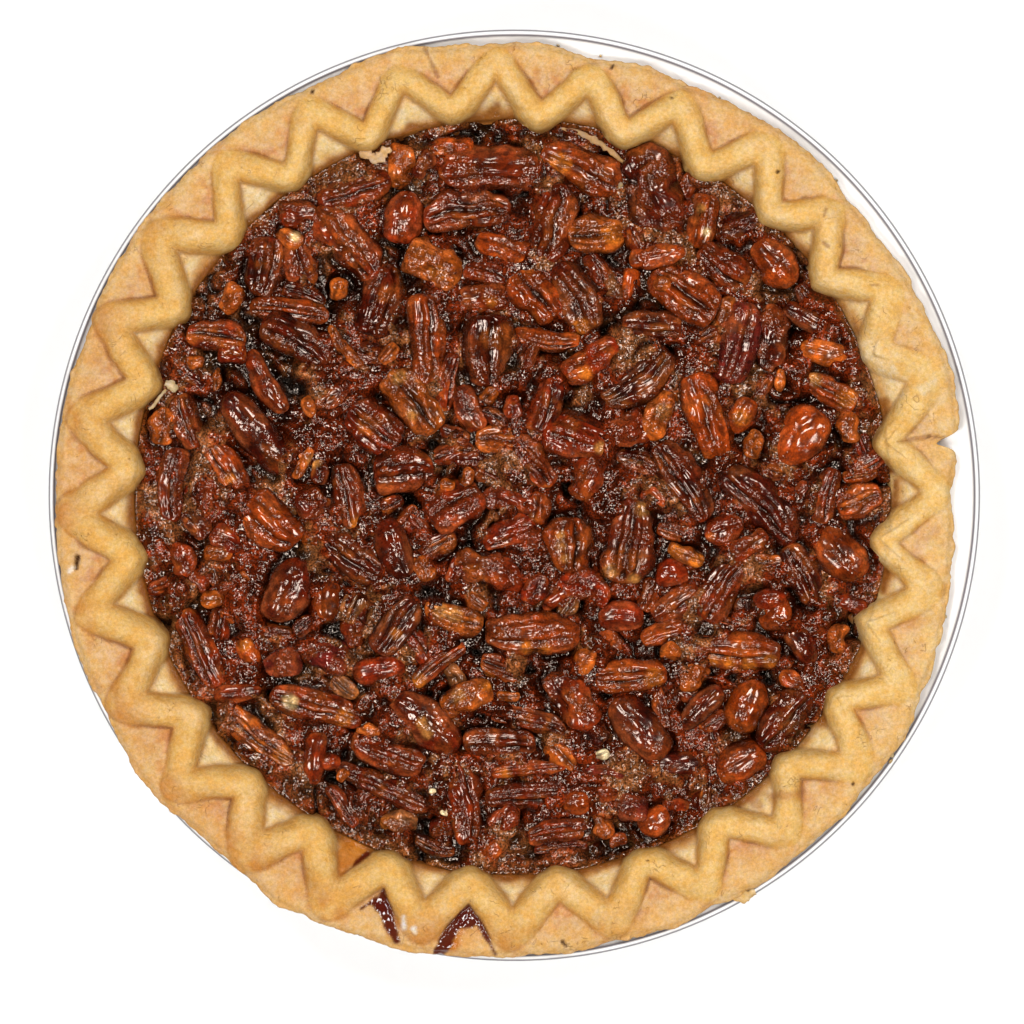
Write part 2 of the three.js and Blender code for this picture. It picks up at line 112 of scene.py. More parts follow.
# Marks on the pastry: tone, depth (raised where negative), half width at the start and the end,
# then the start and the end as an angle and a radius about the crust's centre.
MARKS = [
    ("amber", 0, 0.9, 0.9, (264.1, 113), (263.1, 118)),
    ("amber", 0, 0.9, 0.6, (254.2, 114), (254.9, 117.5)),
    ("syrup", -0.3, 0.4, 3.0, (264.85, 104.6), (264.65, 110.5)),
    ("syrup", -0.2, 1.3, 0.5, (265.9, 110), (268.6, 119.2)),
    ("syrup", -0.3, 1.9, 1.7, (263.7, 110), (261.5, 119.4)),
    ("syrup", -0.3, 0.4, 2.6, (252.65, 105.6), (253, 111)),
    ("syrup", -0.3, 2.3, 1.0, (253.2, 111), (256, 119.2)),
    ("syrup", -0.2, 1.3, 0.5, (251.9, 110.5), (250.5, 113.7)),
    ("amber", 0, 1.0, 3.8, (246, 110.5), (246.2, 101)),
    ("syrup", -0.1, 1.1, 0.7, (245.9, 111.8), (248.6, 100.3)),
    ("crack", 0.7, 0.35, 0.4, (8.3, 103.5), (8.4, 112)), ("crack", 1.0, 0.4, 0.9, (8.4, 112), (7.6, 118)),
    ("pale", 0, 2.0, 2.4, (15.5, 107), (23, 103)), ("pale", -0.3, 1.2, 1.6, (14.8, 112.6), (14.9, 115)),
    ("hole", 1.6, 0.6, 0.6, (277.2, 117), (277.6, 118.1)),
    ("hole", 1.3, 0.45, 0.4, (187.7, 113.3), (189.2, 114.1)),
    # Painted highlight.
    ("glint", 0, 0.4, 0.4, (189.0, 114.9), (189.4, 115.9)),
    ("brown", 0, 1.3, 1.6, (311.5, 104), (314.5, 108.5)),
    ("brown", 0, 0.8, 1.2, (308.6, 101), (309.5, 104)), ("crack", 0.5, 0.3, 0.3, (41.6, 111), (42.2, 113)),
    ("crack", 0.5, 0.4, 0.4, (38.1, 107), (38.9, 106.6)),
    ("crack", 0.5, 0.3, 0.3, (30.4, 110.5), (29.9, 112.4)),
    ("hole", 0.4, 0.45, 0.45, (76.3, 116), (76.2, 116.8)),
    ("hole", 0.4, 0.4, 0.4, (115.5, 118), (115.4, 118.2)),
    ("hole", 0.3, 0.35, 0.35, (67.5, 113.5), (67.7, 113.5)),
    ("hole", 0.3, 0.35, 0.35, (50.3, 111), (50.3, 111.3)),
    ("hole", 0.3, 0.35, 0.35, (320.5, 117.5), (320.6, 117.5)),
    ("hole", 0.3, 0.35, 0.35, (291.3, 101.5), (291.4, 101.5)),
    ("crack", 0.6, 0.3, 0.45, (99.2, 112), (100.3, 120)),
    # Painted highlights.
    ("glint", 0, 0.3, 0.6, (256.1, 112.4), (256.5, 115.4)),
    ("glint", 0, 0.7, 0.5, (257.8, 115.2), (258.2, 116.2)), ("soak", 0, 1.8, 0.8, (14, 99.6), (14.5, 102)),
    ("soak", 0, 3.0, 1.2, (92.5, 98.8), (91.3, 102.8)),
    ("soak", 0, 2.0, 1.0, (104.3, 98.8), (104.4, 100.8)), ("soak", 0, 2.0, 1.0, (325, 100), (324.5, 102.5)),
]
# Of each kind of mark: strength, screen colour, wetness and softness of the edge in millimetres.
MARK_TONES = {
    "syrup": (0.97, (92, 22, 8), 1.0, 0.4), "amber": (0.93, (204, 122, 36), 0.4, 1.3),
    "soak": (0.85, (152, 94, 38), 0.2, 1.2),
    # Crack and hole marks are painted darker as the shade inside them.
    "crack": (0.5, (124, 66, 28), 0.0, 0.25), "hole": (0.95, (62, 30, 14), 0.0, 0.25),
    "brown": (0.5, (176, 98, 44), 0.0, 1.0), "pale": (0.55, (248, 222, 170), 0.0, 1.0),
    # Painted highlights where the pastry is glazed with syrup.
    "glint": (0.9, (255, 250, 238), 0.3, 0.6),
}
RUNNY_MARKS = ("syrup", "amber", "soak")  # these stop at the rope's foot

# Thin peeled flakes of pastry: tone, width, height above the tin's ledge, then the path of x and y.
PEELS = [
    ((196, 158, 112), 1.5, 1.6, [(12.4, 96.2), (17, 95.2), (21.7, 92.8), (27.7, 88.3), (29.2, 86.8)]),
    ((214, 190, 146), 2.6, 1.7, [(-91.6, 29.4), (-90, 28.8), (-88.4, 27.6)]),
    ((210, 182, 134), 1.0, 1.9, [(-91.4, 27.8), (-93.2, 25.4), (-93.9, 24.2), (-95.8, 22.5)]),
    ((190, 160, 118), 1.5, 1.4, [(28.2, 82.1), (27.6, 80.5)]),
    ((222, 186, 142), 3.0, 1.9, [(-40.4, 90.5), (-36.4, 88.4), (-32.4, 91)]),
    ((236, 202, 140), 2.9, 3.4, [(55.9, -103.9), (59.5, -105.2), (63.2, -103.9)]),
]
# Crumbs: angle, radius, size.
CRUMBS = [
    (326.5, 121, 1.7), (325.7, 122, 1.1), (327.6, 120.9, 0.9), (251.5, 120.4, 1.2), (22.5, 119.6, 0.9),
    (83.5, 119.8, 0.7), (78, 118.8, 0.6), (128.5, 118.9, 0.8), (98.4, 118.6, 0.8), (62, 119.2, 0.5),
    (44, 120.3, 0.7), (10.5, 117.2, 1.0), (5.9, 116.8, 1.2), (4.8, 117.6, 0.7), (9.3, 118.6, 0.6),
    (345, 119.3, 0.7), (240, 121, 0.9), (198.6, 119.4, 0.7),
]

# Nuts: x, y, heading, length, width, then a letter for the kind (B back, F face, S smooth, R rough,
# C chip) and one for the tone.
NUTS = [
    (-6, 85.5, 0, 27, 13, "Bm"), (-30, 86, 85, 12, 8, "Ca"), (-24, 87, 60, 8, 6, "Cd"),
    (-17, 91, 10, 12, 5, "Co"), (-12, 74.5, 3, 23, 11, "Fm"), (-29, 73, 80, 14, 11, "Sr"),
    (-21, 60.5, -25, 16, 12, "Ca"), (-3.5, 65, -20, 14, 8, "Co"), (9.5, 71.5, 77, 22, 12.5, "Bm"),
    (18, 86, -25, 23, 11, "Bo"), (21.5, 68.5, 5, 15, 11, "Fa"), (5.5, 52.5, -50, 16, 11, "Fo"),
    (16, 52, -60, 20, 12, "Bd"), (-7.5, 52, 0, 14, 8, "Cm"), (8.5, 41, -8, 17, 6, "Bo"),
    (-7, 38, 90, 19, 14, "Bd"), (-23, 41, 92, 24, 11, "Bo"), (-35.2, 51.2, 75, 20, 13, "Bd"),
    (20, 35.5, 35, 16, 8, "Cr"), (32.7, 30.5, 38, 22, 11, "Bd"), (-42, 80, 17, 20, 9, "Bm"),
    (-44, 66.5, -48, 24, 12, "Bm"), (-59, 67.5, -30, 7.5, 5.5, "Ca"), (-65.5, 60, 80, 16, 11, "Bd"),
    (-56, 61, -70, 14, 9, "Cm"), (-46, 54, 70, 6, 5, "Ca"), (-59, 48.5, -7, 21, 7, "Bo"),
    (-55, 53, -20, 12, 5, "Bd"), (-74.5, 51.6, 60, 8, 6, "Ca"), (-78, 42, -8, 16, 9, "Fr"),
    (-74, 37, 0, 8, 6, "Cr"), (-83.8, 35, 0, 5, 4, "Ca"), (-57, 40.5, -35, 20, 11, "Bd"),
    (-44.5, 38.5, -52, 14, 4, "Ca"), (-57, 74, 0, 10, 8, "Cm"), (-65.3, 29.6, -60, 19, 7, "Sm"),
    (36, 80, -65, 23, 14, "Rd"), (49.5, 72, 80, 15, 9, "Bo"), (37.5, 63, 12, 14, 6, "Co"),
    (55, 60, -35, 16, 10, "Bm"), (68.5, 61, -50, 15, 11, "So"), (38.7, 55.5, 0, 5, 5, "Ca"),
    (44.5, 53, -35, 20, 13, "Fo"), (36, 44.7, -5, 16, 8, "Bd"), (55.5, 48, 70, 9, 5, "Ca"),
    (58.5, 40, 75, 22, 12, "Bp"), (67.1, 40.7, 80, 18, 9, "Rd"), (77, 46.5, -25, 14, 7, "Sd"),
    (81.5, 37.5, -8, 13, 7, "Sa"), (-78, 30.5, 85, 6.5, 3, "Ca"), (-67.7, 16.1, -50, 27, 11, "Sd"),
    (-85.8, 19.3, -72, 15, 8, "Bm"), (-92.2, 18.3, 80, 10, 7, "Ca"), (-90, 3, 85, 20, 9, "Bm"),
    (-75.8, 7, -58, 17, 9, "Bo"), (-54.9, 11, 69, 14, 5, "Ca"), (-53.6, 23, -65, 6, 4, "Ca"),
    (-43.2, -0.4, -78, 18, 8.5, "Bm"), (-37, 18, -37, 16, 12, "Fr"), (-63.8, -7.4, -40, 17, 13, "Bo"),
    (-52.7, -2, 0, 10, 9, "Rd"), (-83.6, -7.8, -40, 9, 6, "Cd"), (-75, -12, -35, 10, 7, "Cr"),
    (-71, -21.3, -45, 7, 3.5, "Ca"), (-77.5, -15.2, 0, 8, 6, "Ca"), (-88, -17, -50, 10, 8, "Cm"),
    (-59.4, -24.8, 62, 18, 12, "Sd"), (-49, -27, 85, 12, 8, "So"), (-42.5, -16.3, -35, 18, 11, "Bd"),
    (-79.3, -27.3, 0, 6, 5, "Ca"), (-75.3, -24.3, 15, 10, 4, "Cm"), (-26.5, 24.5, -50, 20, 12, "Fa"),
    (-17.5, 29.6, 80, 16, 6, "Bm"), (-6.6, 26.1, 40, 5, 4, "Ca"), (-0.5, 23, 90, 6, 5, "Cr"),
    (8.3, 24, 72, 16, 10, "Br"), (16, 15.3, -12, 17, 13, "Br"), (-3.6, 14.4, -5, 13, 8, "Fa"),
    (4.3, 8.7, -50, 16, 10, "Fm"), (-29, 6.3, 5, 16, 13, "Bm"), (-15.3, -2.1, 30, 16, 13, "Fm"),
    (-17.5, 2.7, 0, 4, 4, "Ca"), (-12.3, 4.8, 60, 5, 4, "Ca"), (6, -3.4, 80, 9, 7, "Co"),
    (14.3, -13, 92, 15, 12, "Bo"), (30, -12, 80, 23, 13, "Fm"), (20.3, 5.7, 60, 14, 9, "Rm"),
    (28.2, 16.1, 20, 14, 10, "Rm"), (-6.8, -20, -12, 19, 11, "Cm"), (-15.3, -19, 80, 8, 5, "Cr"),
    (-24, -19, -55, 8, 6, "Ca"), (-31.4, -14, -70, 17, 10, "Sd"), (5.6, -24.7, 60, 9, 7, "Cr"),
    (50.5, 20.7, -72, 23, 12, "Bo"), (37.9, 21, 60, 13, 8, "Ra"), (59.7, 21, 60, 10, 8, "So"),
    (62.7, 13.5, 80, 8, 6, "Ca"), (69.7, 30, 85, 6, 3, "Ca"), (83.1, 27.4, -30, 15, 8, "Fo"),
    (75, 15.5, 50, 17, 13, "So"), (87.9, 17.9, 80, 8, 6, "Ca"), (44.5, 4, -57, 24, 11, "Bd"),
    (65.2, -2.3, -45, 26, 12, "Bd"), (81.8, 0, 75, 15, 7, "Bm"), (90.5, -1.7, 20, 12, 9, "Fo"),
    (85.3, -15.4, -50, 17, 12, "So"), (76.2, -20.4, -60, 17, 9, "Bd"), (54.9, -9, 20, 10, 8, "Cm"),
    (61, -13.4, 30, 12, 7, "Cm"), (41.5, -20.5, 0, 9, 8, "Sr"), (45.3, -15.6, -20, 10, 5, "Ca"),
    (54.5, -24.2, 58, 20, 10, "Bm"), (67, -27.5, 0, 9, 7, "Sr"), (4.5, -36.3, -2, 25, 12, "Bo"),
    (28, -32, 0, 12, 9, "Sr"), (39, -36, 20, 12, 6, "Bo"), (57.5, -41, -5, 25, 10, "Bo"),
    (30.5, -47.5, 3, 19, 9, "Bo"), (-16, -32, -18, 16, 8, "Fa"), (-31, -34.5, 55, 17, 10, "Bd"),
    (-82.4, -40, -65, 22, 9, "Bm"), (-52, -55.3, -14, 25, 9, "Bm"), (-23.1, -59.7, -42, 22, 12, "Sd"),
    (-67.8, -63.5, -38, 25, 9, "Fa"), (-33.5, -68, -20, 20, 9, "Bm"), (-34.5, -76.5, -24, 27, 7, "Bd"),
    (-52.3, -68.8, 82, 14, 7.5, "Sm"), (-45, -81.4, -56, 13, 4.5, "Bm"), (-13.6, -79.7, 100, 24, 10, "Bm"),
    (-21, -92.2, -20, 11, 4.5, "Bd"), (3.8, -71.8, 5, 20, 4.5, "Bm"), (4, -78.8, 4, 24, 8, "Bm"),
    (11.8, -88, 8, 17, 7, "Bm"), (33, -61, -50, 20, 12, "Sd"), (48.8, -55.7, 45, 15, 7, "Sd"),
    (61, -55.3, 65, 15, 11, "So"), (71, -58.3, 50, 20, 10, "Bd"), (59.2, -70, 30, 14, 11, "So"),
    (43.6, -71.2, 10, 15, 9, "Sd"), (68.4, -31.4, 0, 9, 9, "So"), (75.7, -39, -60, 12, 8, "Sd"),
    (85, -37.5, 80, 8, 5, "Ca"), (15, -53.5, -50, 18, 11, "Rm"), (3.8, -58.8, -14, 21, 7, "Bm"),
    (-12.3, -53, 28, 14, 9, "Ca"), (-20, -44, 38, 17, 6, "Bm"), (-35.5, -46, 10, 14, 8, "Sr"),
    (-49.7, -42, -15, 13, 9, "Rp"), (-61, -44, 15, 10, 8, "Rp"), (-69.9, -40.7, -60, 9, 6, "So"),
    (-72.5, -51.8, 5, 13, 6, "Sm"), (-48.4, -70, 0, 6, 5, "Sr"), (-45, -73.4, 60, 4, 3.5, "Ca"),
    (-37.5, -61.7, -5, 8, 3.5, "Ca"), (-3.3, -45.4, -20, 12, 7, "Fo"), (19, -43.5, 70, 9, 6, "Ca"),
    (-1.6, -52.8, 0, 6, 3.5, "Ca"), (-4, -65, 0, 19, 9, "Bm"), (12.3, -68.3, -40, 10, 6, "Ca"),
    (23, -68.1, 20, 4, 3, "Cc"), (24, -72.3, -8, 12, 5, "Sp"), (16, -80.7, 0, 8, 8, "So"),
    (24.3, -78.2, 0, 6, 5, "Cm"), (23, -86.6, 115, 8, 5, "Ca"), (-2.3, -85, 60, 9, 8, "Rr"),
    (20, -61, -30, 11, 6, "Rd"), (30, -81, 0, 10, 9, "Rp"), (27.3, -90.5, 20, 5, 4, "Cr"),
    (36.8, -85.5, 30, 9, 8, "So"), (-30.5, -86, 0, 10, 6, "Rt"), (-17.9, -82, 75, 4, 3.3, "Cc"),
    (-21.4, -77.5, 0, 2, 1.5, "Cc"), (12, -92.3, 5, 14, 3.5, "Bd"), (37.5, -67, 0, 6, 3, "Ca"),
    (41, -41, 0, 6, 5, "Ca"), (72.7, -48.3, -30, 7, 5, "Co"),
]

# Pale kernel that shows through a nut's skin: x, y, radius, tone (a amber, y pale, c cream).
FLECKS = [
    (-57.5, 67.8, 1.5, "c"), (-30, 30.8, 1.8, "y"), (-26.8, 20.8, 1.4, "y"), (-5.9, 50.7, 1.5, "a"),
    (-74.6, 4.5, 1.3, "a"), (12, 86.9, 3.0, "a"), (49.2, 75.4, 1.2, "y"), (50.3, 69, 1.0, "c"),
    (25.6, 68.5, 2.8, "a"), (78.6, 30.5, 1.8, "y"), (87, 25.5, 2.6, "a"), (59.5, 20.4, 2.2, "a"),
    (18.8, 31.8, 2.0, "a"), (17.2, 44.4, 2.4, "a"), (22.5, 12.4, 1.5, "y"), (38.9, 22, 2.2, "y"),
    (-19.3, -30.5, 2.0, "y"), (-15.6, -31.3, 2.0, "y"), (-31, -36.1, 1.3, "a"), (-70.6, -39.3, 1.7, "a"),
    (-58.8, -54.2, 1.9, "c"), (-44.7, -58.2, 2.3, "a"), (-74.2, -60.2, 1.0, "y"), (-72.2, -61.6, 1.0, "y"),
    (-60.9, -68.1, 2.0, "a"), (-58.8, -71.8, 2.0, "a"), (-24.2, -59.8, 1.5, "y"), (-23, -61.9, 1.5, "y"),
    (-25.3, -48.7, 2.0, "a"), (-14.8, -52.4, 1.8, "y"), (-7, -49, 2.2, "a"), (-34.2, -86, 2.0, "a"),
    (-41.5, -7.8, 2.0, "a"), (-55.2, -14.6, 1.5, "a"), (-2.2, -72.8, 1.5, "a"), (12, -10.5, 1.2, "y"),
    (12.2, -13.5, 1.2, "y"), (12.9, -16.5, 1.2, "y"), (33.5, -3.6, 1.9, "y"), (25.1, -19.9, 1.9, "y"),
    (31.4, -22, 1.5, "y"), (42.4, -14.6, 2.0, "a"), (48.2, -17.2, 2.0, "a"), (36.5, -48, 2.6, "a"),
    (52, -43.5, 1.6, "a"), (56.5, -44, 1.7, "a"), (61.5, -44.3, 1.8, "a"), (67, -43.5, 1.8, "a"),
    (3, -39.8, 1.5, "a"), (8, -40.3, 1.5, "a"), (-52.5, 9, 1.8, "y"), (-20, 58.5, 2.2, "a"),
]
FLECK_TONES = {"a": (206, 112, 32), "y": (214, 142, 70), "c": (240, 204, 140)}

# Deep holes in the syrup, painted nearly black as their shade: x, y, radius.
HOLES = [
    (4.3, -45.7, 1.4), (66.6, -47.3, 1.7), (52, -47, 1.2), (57.5, -48, 1.1), (-22, -87, 2.2),
    (-10, -41, 1.3), (-9, -58, 1.2), (-22, -52, 1.4), (-14, -62, 1.1), (24, -52.5, 1.3),
    (-63.7, -52.8, 1.3), (-42.5, -61, 1.1), (-48, -74, 1.3), (26.5, -37.5, 1.3), (38, -41, 1.1),
    (-24, 9, 2.4), (-20.5, 13, 1.8), (-27.5, -0.5, 1.6), (-12, 6.5, 1.2), (-5.2, -8, 1.3), (-5, -2.6, 1.2),
    (13.5, 1.8, 1.5), (17, -3.5, 1.2), (34.5, 0.5, 1.2), (12, 16.5, 1.1), (-33, 27, 1.8), (52, 30, 1.6),
    (40, 38, 1.5), (-21, 70, 1.5), (2, 79, 1.2),
]

# ---- Numbers ----


def smooth(low, high, value):
    t = np.clip((value - low) / (high - low), 0, 1)
    return t * t * (3 - 2 * t)


def mix(a, b, share):
    return a + (b - a) * share


def hump(value, centre, width):
    return np.exp(-(((value - centre) / width) ** 2))


def paint(*screen):
    """The reflectance that shows as a screen colour, 0 to 255, under the lamps."""
    c = np.array(screen) / 255
    return np.where(c > 0.04045, ((c + 0.055) / 1.055) ** 2.4, c / 12.92) / LAMP_LEVEL


def covered(colour, share, screen):
    """A colour with a screen colour laid over it, by a share from 0 to 1 at each point."""
    return mix(colour, paint(*screen), np.clip(share, 0, 1)[..., None])


def hashed(cell, seed):
    """A repeatable number from 0 to 1 for each three whole numbers."""
    c = cell.astype(np.int64)
    h = c[..., 0] * 374761393 + c[..., 1] * 668265263 + c[..., 2] * 1274126177 + seed * 974711
    h = (h ^ (h >> 13)) & 0xFFFFFFFF
    h = (h * 1103515245 + 12345) & 0xFFFFFFFF
    h = ((h ^ (h >> 15)) * 69069) & 0xFFFFFFFF
    return ((h ^ (h >> 16)) & 0xFFFFFF) / 0xFFFFFF


def noise(points, size, seed=0):
    """Smooth noise from -1 to 1 with bumps about `size` across."""
    p = points / size
    base = np.floor(p)
    t = p - base
    t = t * t * (3 - 2 * t)
    total = 0
    for corner in range(8):
        step = np.array([corner & 1, corner >> 1 & 1, corner >> 2 & 1])
        weight = np.prod(np.where(step, t, 1 - t), axis=-1)
        total = total + weight * hashed(base + step, seed)
    return total * 2 - 1


def fractal(points, size, octaves=3, seed=0):
    total = 0
    for octave in range(octaves):
        total = total + noise(points, size / 2**octave, seed + octave) / 2**octave
    return total


def polar_points(angle, radius, centre=(0, 0)):
    """Angle in degrees."""
    a = np.radians(angle)
    return np.stack([centre[0] + radius * np.cos(a), centre[1] + radius * np.sin(a)], -1)


def raised(flat, z=0.0):
    """Flat points at a height."""
    return np.c_[flat, np.full(len(flat), z)]


# ---- Meshes ----


def grid_faces(rows, columns, closed=True):
    """Faces between neighbouring points of a grid whose columns may close on themselves."""
    across = columns if closed else columns - 1
    r, c = np.meshgrid(np.arange(rows - 1), np.arange(across), indexing="ij")
    n = (c + 1) % columns
    corners = [r * columns + c, r * columns + n, (r + 1) * columns + n, (r + 1) * columns + c]
    return np.stack(corners, -1).reshape(-1, 4)


def grid_rim(rows, columns):
    """Points round the edge of an open grid, out along its first row and back along its last."""
    count = rows * columns
    down = np.arange(2, rows + 1) * columns - 1
    back = np.arange(count - 2, count - columns - 1, -1)
    return np.r_[np.arange(columns), down, back, np.arange(rows - 2, 0, -1) * columns]


def make_piece(name, points, quads, triangles, material, colour=None, values=None):
    mesh = bpy.data.meshes.new(name)
    faces = [tuple(f) for f in quads.tolist()] + [tuple(f) for f in triangles]
    mesh.from_pydata((np.asarray(points) * MM).tolist(), [], faces)
    mesh.polygons.foreach_set("use_smooth", [True] * len(mesh.polygons))
    if colour is not None:
        layer = mesh.color_attributes.new("tone", "FLOAT_COLOR", "POINT")
        layer.data.foreach_set("color", np.c_[colour, np.ones(len(colour))].astype(np.float32).ravel())
    for key, value in (values or {}).items():
        value = np.asarray(value, np.float32)
        layer = mesh.attributes.new(key, "FLOAT_VECTOR" if value.ndim > 1 else "FLOAT", "POINT")
        layer.data.foreach_set("vector" if value.ndim > 1 else "value", value.ravel())
    mesh.materials.append(material)
    mesh.validate()
    mesh.update()
    piece = bpy.data.objects.new(name, mesh)
    bpy.context.scene.collection.objects.link(piece)
    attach(piece, "root")
    return piece


def caps(rows, columns):
    """Triangles that close the first and last rows of a grid onto two points put after it."""
    first, last = rows * columns, rows * columns + 1
    top = (rows - 1) * columns
    ends = [(first, (c + 1) % columns, c) for c in range(columns)]
    return ends + [(last, top + c, top + (c + 1) % columns) for c in range(columns)]


# ---- Materials ----


class Shader:
    """A material with short names for the nodes that the pie needs."""

    def __init__(self, name):
        self.material = bpy.data.materials.new(name)
        self.material.use_nodes = True
        self.nodes = self.material.node_tree.nodes
        self.links = self.material.node_tree.links
        self.surface = self.nodes["Principled BSDF"]
        self.place = self.nodes.new("ShaderNodeTexCoord").outputs["Object"]

    def join(self, value, socket):
        if isinstance(value, bpy.types.NodeSocket):
            self.links.new(value, socket)
        else:
            socket.default_value = value

    def set(self, **sockets):
        for key, value in sockets.items():
            self.join(value, self.surface.inputs[key.replace("_", " ")])

    def attribute(self, name, output="Fac"):
        node = self.nodes.new("ShaderNodeAttribute")
        node.attribute_name = name
        return node.outputs[output]

    def math(self, operation, a, b=0.0):
        node = self.nodes.new("ShaderNodeMath")
        node.operation = operation
        for value, socket in zip((a, b), node.inputs):
            self.join(value, socket)
        return node.outputs[0]

    def times(self, product, *factors):
        for factor in factors:
            product = self.math("MULTIPLY", product, factor)
        return product

    def plus(self, total, *values):
        for value in values:
            total = self.math("ADD", total, value)
        return total

    def noise(self, size_mm, detail=2.0, roughness=0.5, place=None, distortion=0.0):
        node = self.nodes.new("ShaderNodeTexNoise")
        self.join(place or self.place, node.inputs["Vector"])
        node.inputs["Scale"].default_value = 1 / (size_mm * MM)
        node.inputs["Detail"].default_value = detail
        node.inputs["Roughness"].default_value = roughness
        node.inputs["Distortion"].default_value = distortion
        return node.outputs["Fac"]

    def ramp(self, value, low, high, to_low=0.0, to_high=1.0):
        node = self.nodes.new("ShaderNodeMapRange")
        node.interpolation_type = "SMOOTHSTEP"
        for key, number in (("From Min", low), ("From Max", high), ("To Min", to_low), ("To Max", to_high)):
            node.inputs[key].default_value = number
        self.join(value, node.inputs["Value"])
        return node.outputs["Result"]

    def blend(self, share, a, b, mode="MIX"):
        node = self.nodes.new("ShaderNodeMix")
        node.data_type = "RGBA"
        node.blend_type = mode
        self.join(share, node.inputs[0])
        for value, socket in zip((a, b), (node.inputs[6], node.inputs[7])):
            self.join(value if isinstance(value, bpy.types.NodeSocket) else (*value, 1.0), socket)
        return node.outputs[2]

    def scaled(self, colour, factor):
        """A colour made lighter or darker by a factor."""
        node = self.nodes.new("ShaderNodeVectorMath")
        node.operation = "SCALE"
        self.join(colour, node.inputs[0])
        self.join(factor, node.inputs["Scale"])
        return node.outputs[0]

    def bump(self, height, depth_mm, under=None):
        node = self.nodes.new("ShaderNodeBump")
        node.inputs["Strength"].default_value = 1.0
        node.inputs["Distance"].default_value = depth_mm * MM
        self.join(height, node.inputs["Height"])
        if under is not None:
            self.join(under, node.inputs["Normal"])
        return node.outputs["Normal"]


def pastry_material():
    s = Shader("baked_pastry")
    wet = s.attribute("wet")
    dry = s.math("SUBTRACT", 1.0, wet)
    grain, fine, patch = s.noise(0.9, 3, 0.65), s.noise(0.4, 1, 0.6), s.noise(5, 3, 0.55)
    shade = s.times(
        s.ramp(grain, 0.25, 0.75, 0.87, 1.1),
        s.ramp(patch, 0.25, 0.75, 0.94, 1.05),
        s.ramp(fine, 0.25, 0.75, 0.92, 1.07),
    )
    warm = s.blend(s.ramp(s.noise(3.4, 3, 0.6), 0.34, 0.66), (0.99, 0.89, 0.74), (1.01, 1.06, 1.22))
    freckle = s.blend(s.ramp(s.noise(1.1, 2, 0.6), 0.32, 0.68), (0.98, 0.95, 0.8), (1.02, 1.04, 1.2))
    colour = s.scaled(s.attribute("tone", "Color"), shade)
    colour = s.blend(1.0, s.blend(1.0, colour, warm, "MULTIPLY"), freckle, "MULTIPLY")
    line = s.math("ABSOLUTE", s.math("SUBTRACT", s.noise(5, 2, 0.55, distortion=0.8), 0.5))
    cracks = s.times(s.ramp(line, 0.0, 0.012, 1, 0), s.ramp(s.noise(6, 2, 0.6), 0.58, 0.66))
    # Painted shade in the crack lines.
    colour = s.blend(s.times(cracks, 0.35, dry), colour, paint(160, 98, 52))
    specks = s.ramp(s.noise(0.8, 1, 0.5), 0.76, 0.84)
    colour = s.blend(s.times(specks, 0.4, dry), colour, paint(140, 84, 40))
    relief = s.plus(s.times(s.noise(2.2, 4, 0.62), 0.42), s.times(cracks, -0.15), s.times(grain, 0.14))
    film = s.times(s.noise(1.8, 1, 0.5), 0.35, wet)
    normal = s.bump(s.plus(s.times(relief, dry), film), 1.0)
    s.set(Base_Color=colour, Roughness=s.ramp(grain, 0.2, 0.8, 0.6, 0.72), Normal=normal)
    s.set(Specular_IOR_Level=0.03, Coat_Weight=wet, Coat_Roughness=0.07, Coat_IOR=1.6, Coat_Normal=normal)
    return s.material


def glaze_film(s):
    """Patches of granular syrup that run over nuts and syrup alike, and their fine sparkle."""
    return s.ramp(s.noise(5.5, 3, 0.6), 0.48, 0.58), s.noise(1.75, 1, 0.5)


def syrup_material():
    s = Shader("baked_syrup")
    calm = s.attribute("calm")
    film, sparkle = glaze_film(s)
    shade = s.times(
        s.ramp(s.noise(0.55, 2, 0.6), 0.3, 0.72, 0.35, 1.75),
        s.ramp(s.noise(2.2, 3, 0.6), 0.3, 0.7, 0.45, 1.5),
        s.ramp(film, 0, 1, 0.8, 1.25),
    )
    rough = s.times(s.ramp(film, 0, 1, 0.7, 0.95), s.ramp(calm, 0, 1, 1.0, 0.7))
    normal = s.bump(s.times(sparkle, rough), 1.05)
    colour = s.scaled(s.attribute("tone", "Color"), shade)
    s.set(Base_Color=colour, Roughness=s.ramp(calm, 0, 1, 0.1, 0.07), Normal=normal)
    s.set(IOR=1.8, Specular_IOR_Level=0.33, Specular_Tint=(1.0, 0.85, 0.74, 1.0))
    return s.material


def nut_material():
    s = Shader("candied_pecan")
    gloss, crisp, along = s.attribute("gloss"), s.attribute("crisp"), s.attribute("grain", "Vector")
    film, sparkle = glaze_film(s)
    film = s.times(film, crisp)
    fine, patch = s.noise(0.5, 2, 0.6), s.noise(2.6, 3, 0.6)
    streak, ripple = s.noise(1.2, 2, 0.6, place=along), s.noise(1.7, 1, 0.5, place=along)
    shade = s.times(
        s.ramp(fine, 0.25, 0.75, 0.7, 1.35),
        s.ramp(patch, 0.3, 0.7, 0.5, 1.5),
        s.ramp(streak, 0.3, 0.7, 0.68, 1.32),
    )
    crust = s.scaled(paint(108, 42, 13), s.ramp(fine, 0.3, 0.7, 0.3, 1.9))
    colour = s.blend(s.times(film, 0.6), s.scaled(s.attribute("tone", "Color"), shade), crust)
    bare = s.times(ripple, s.ramp(crisp, 0.2, 0.8, 0.1, 0.32), s.math("SUBTRACT", 1.0, film))
    normal = s.bump(s.plus(bare, s.times(sparkle, film)), 1.0)
    satin = s.plus(s.ramp(gloss, 0.5, 0.95, 0.05, 0.0), s.ramp(patch, 0.35, 0.65, 0.17, 0.06))
    s.set(Base_Color=colour, Roughness=satin, Normal=normal)
    s.set(IOR=1.8, Specular_IOR_Level=0.35, Specular_Tint=(1.0, 0.83, 0.73, 1.0))
    return s.material


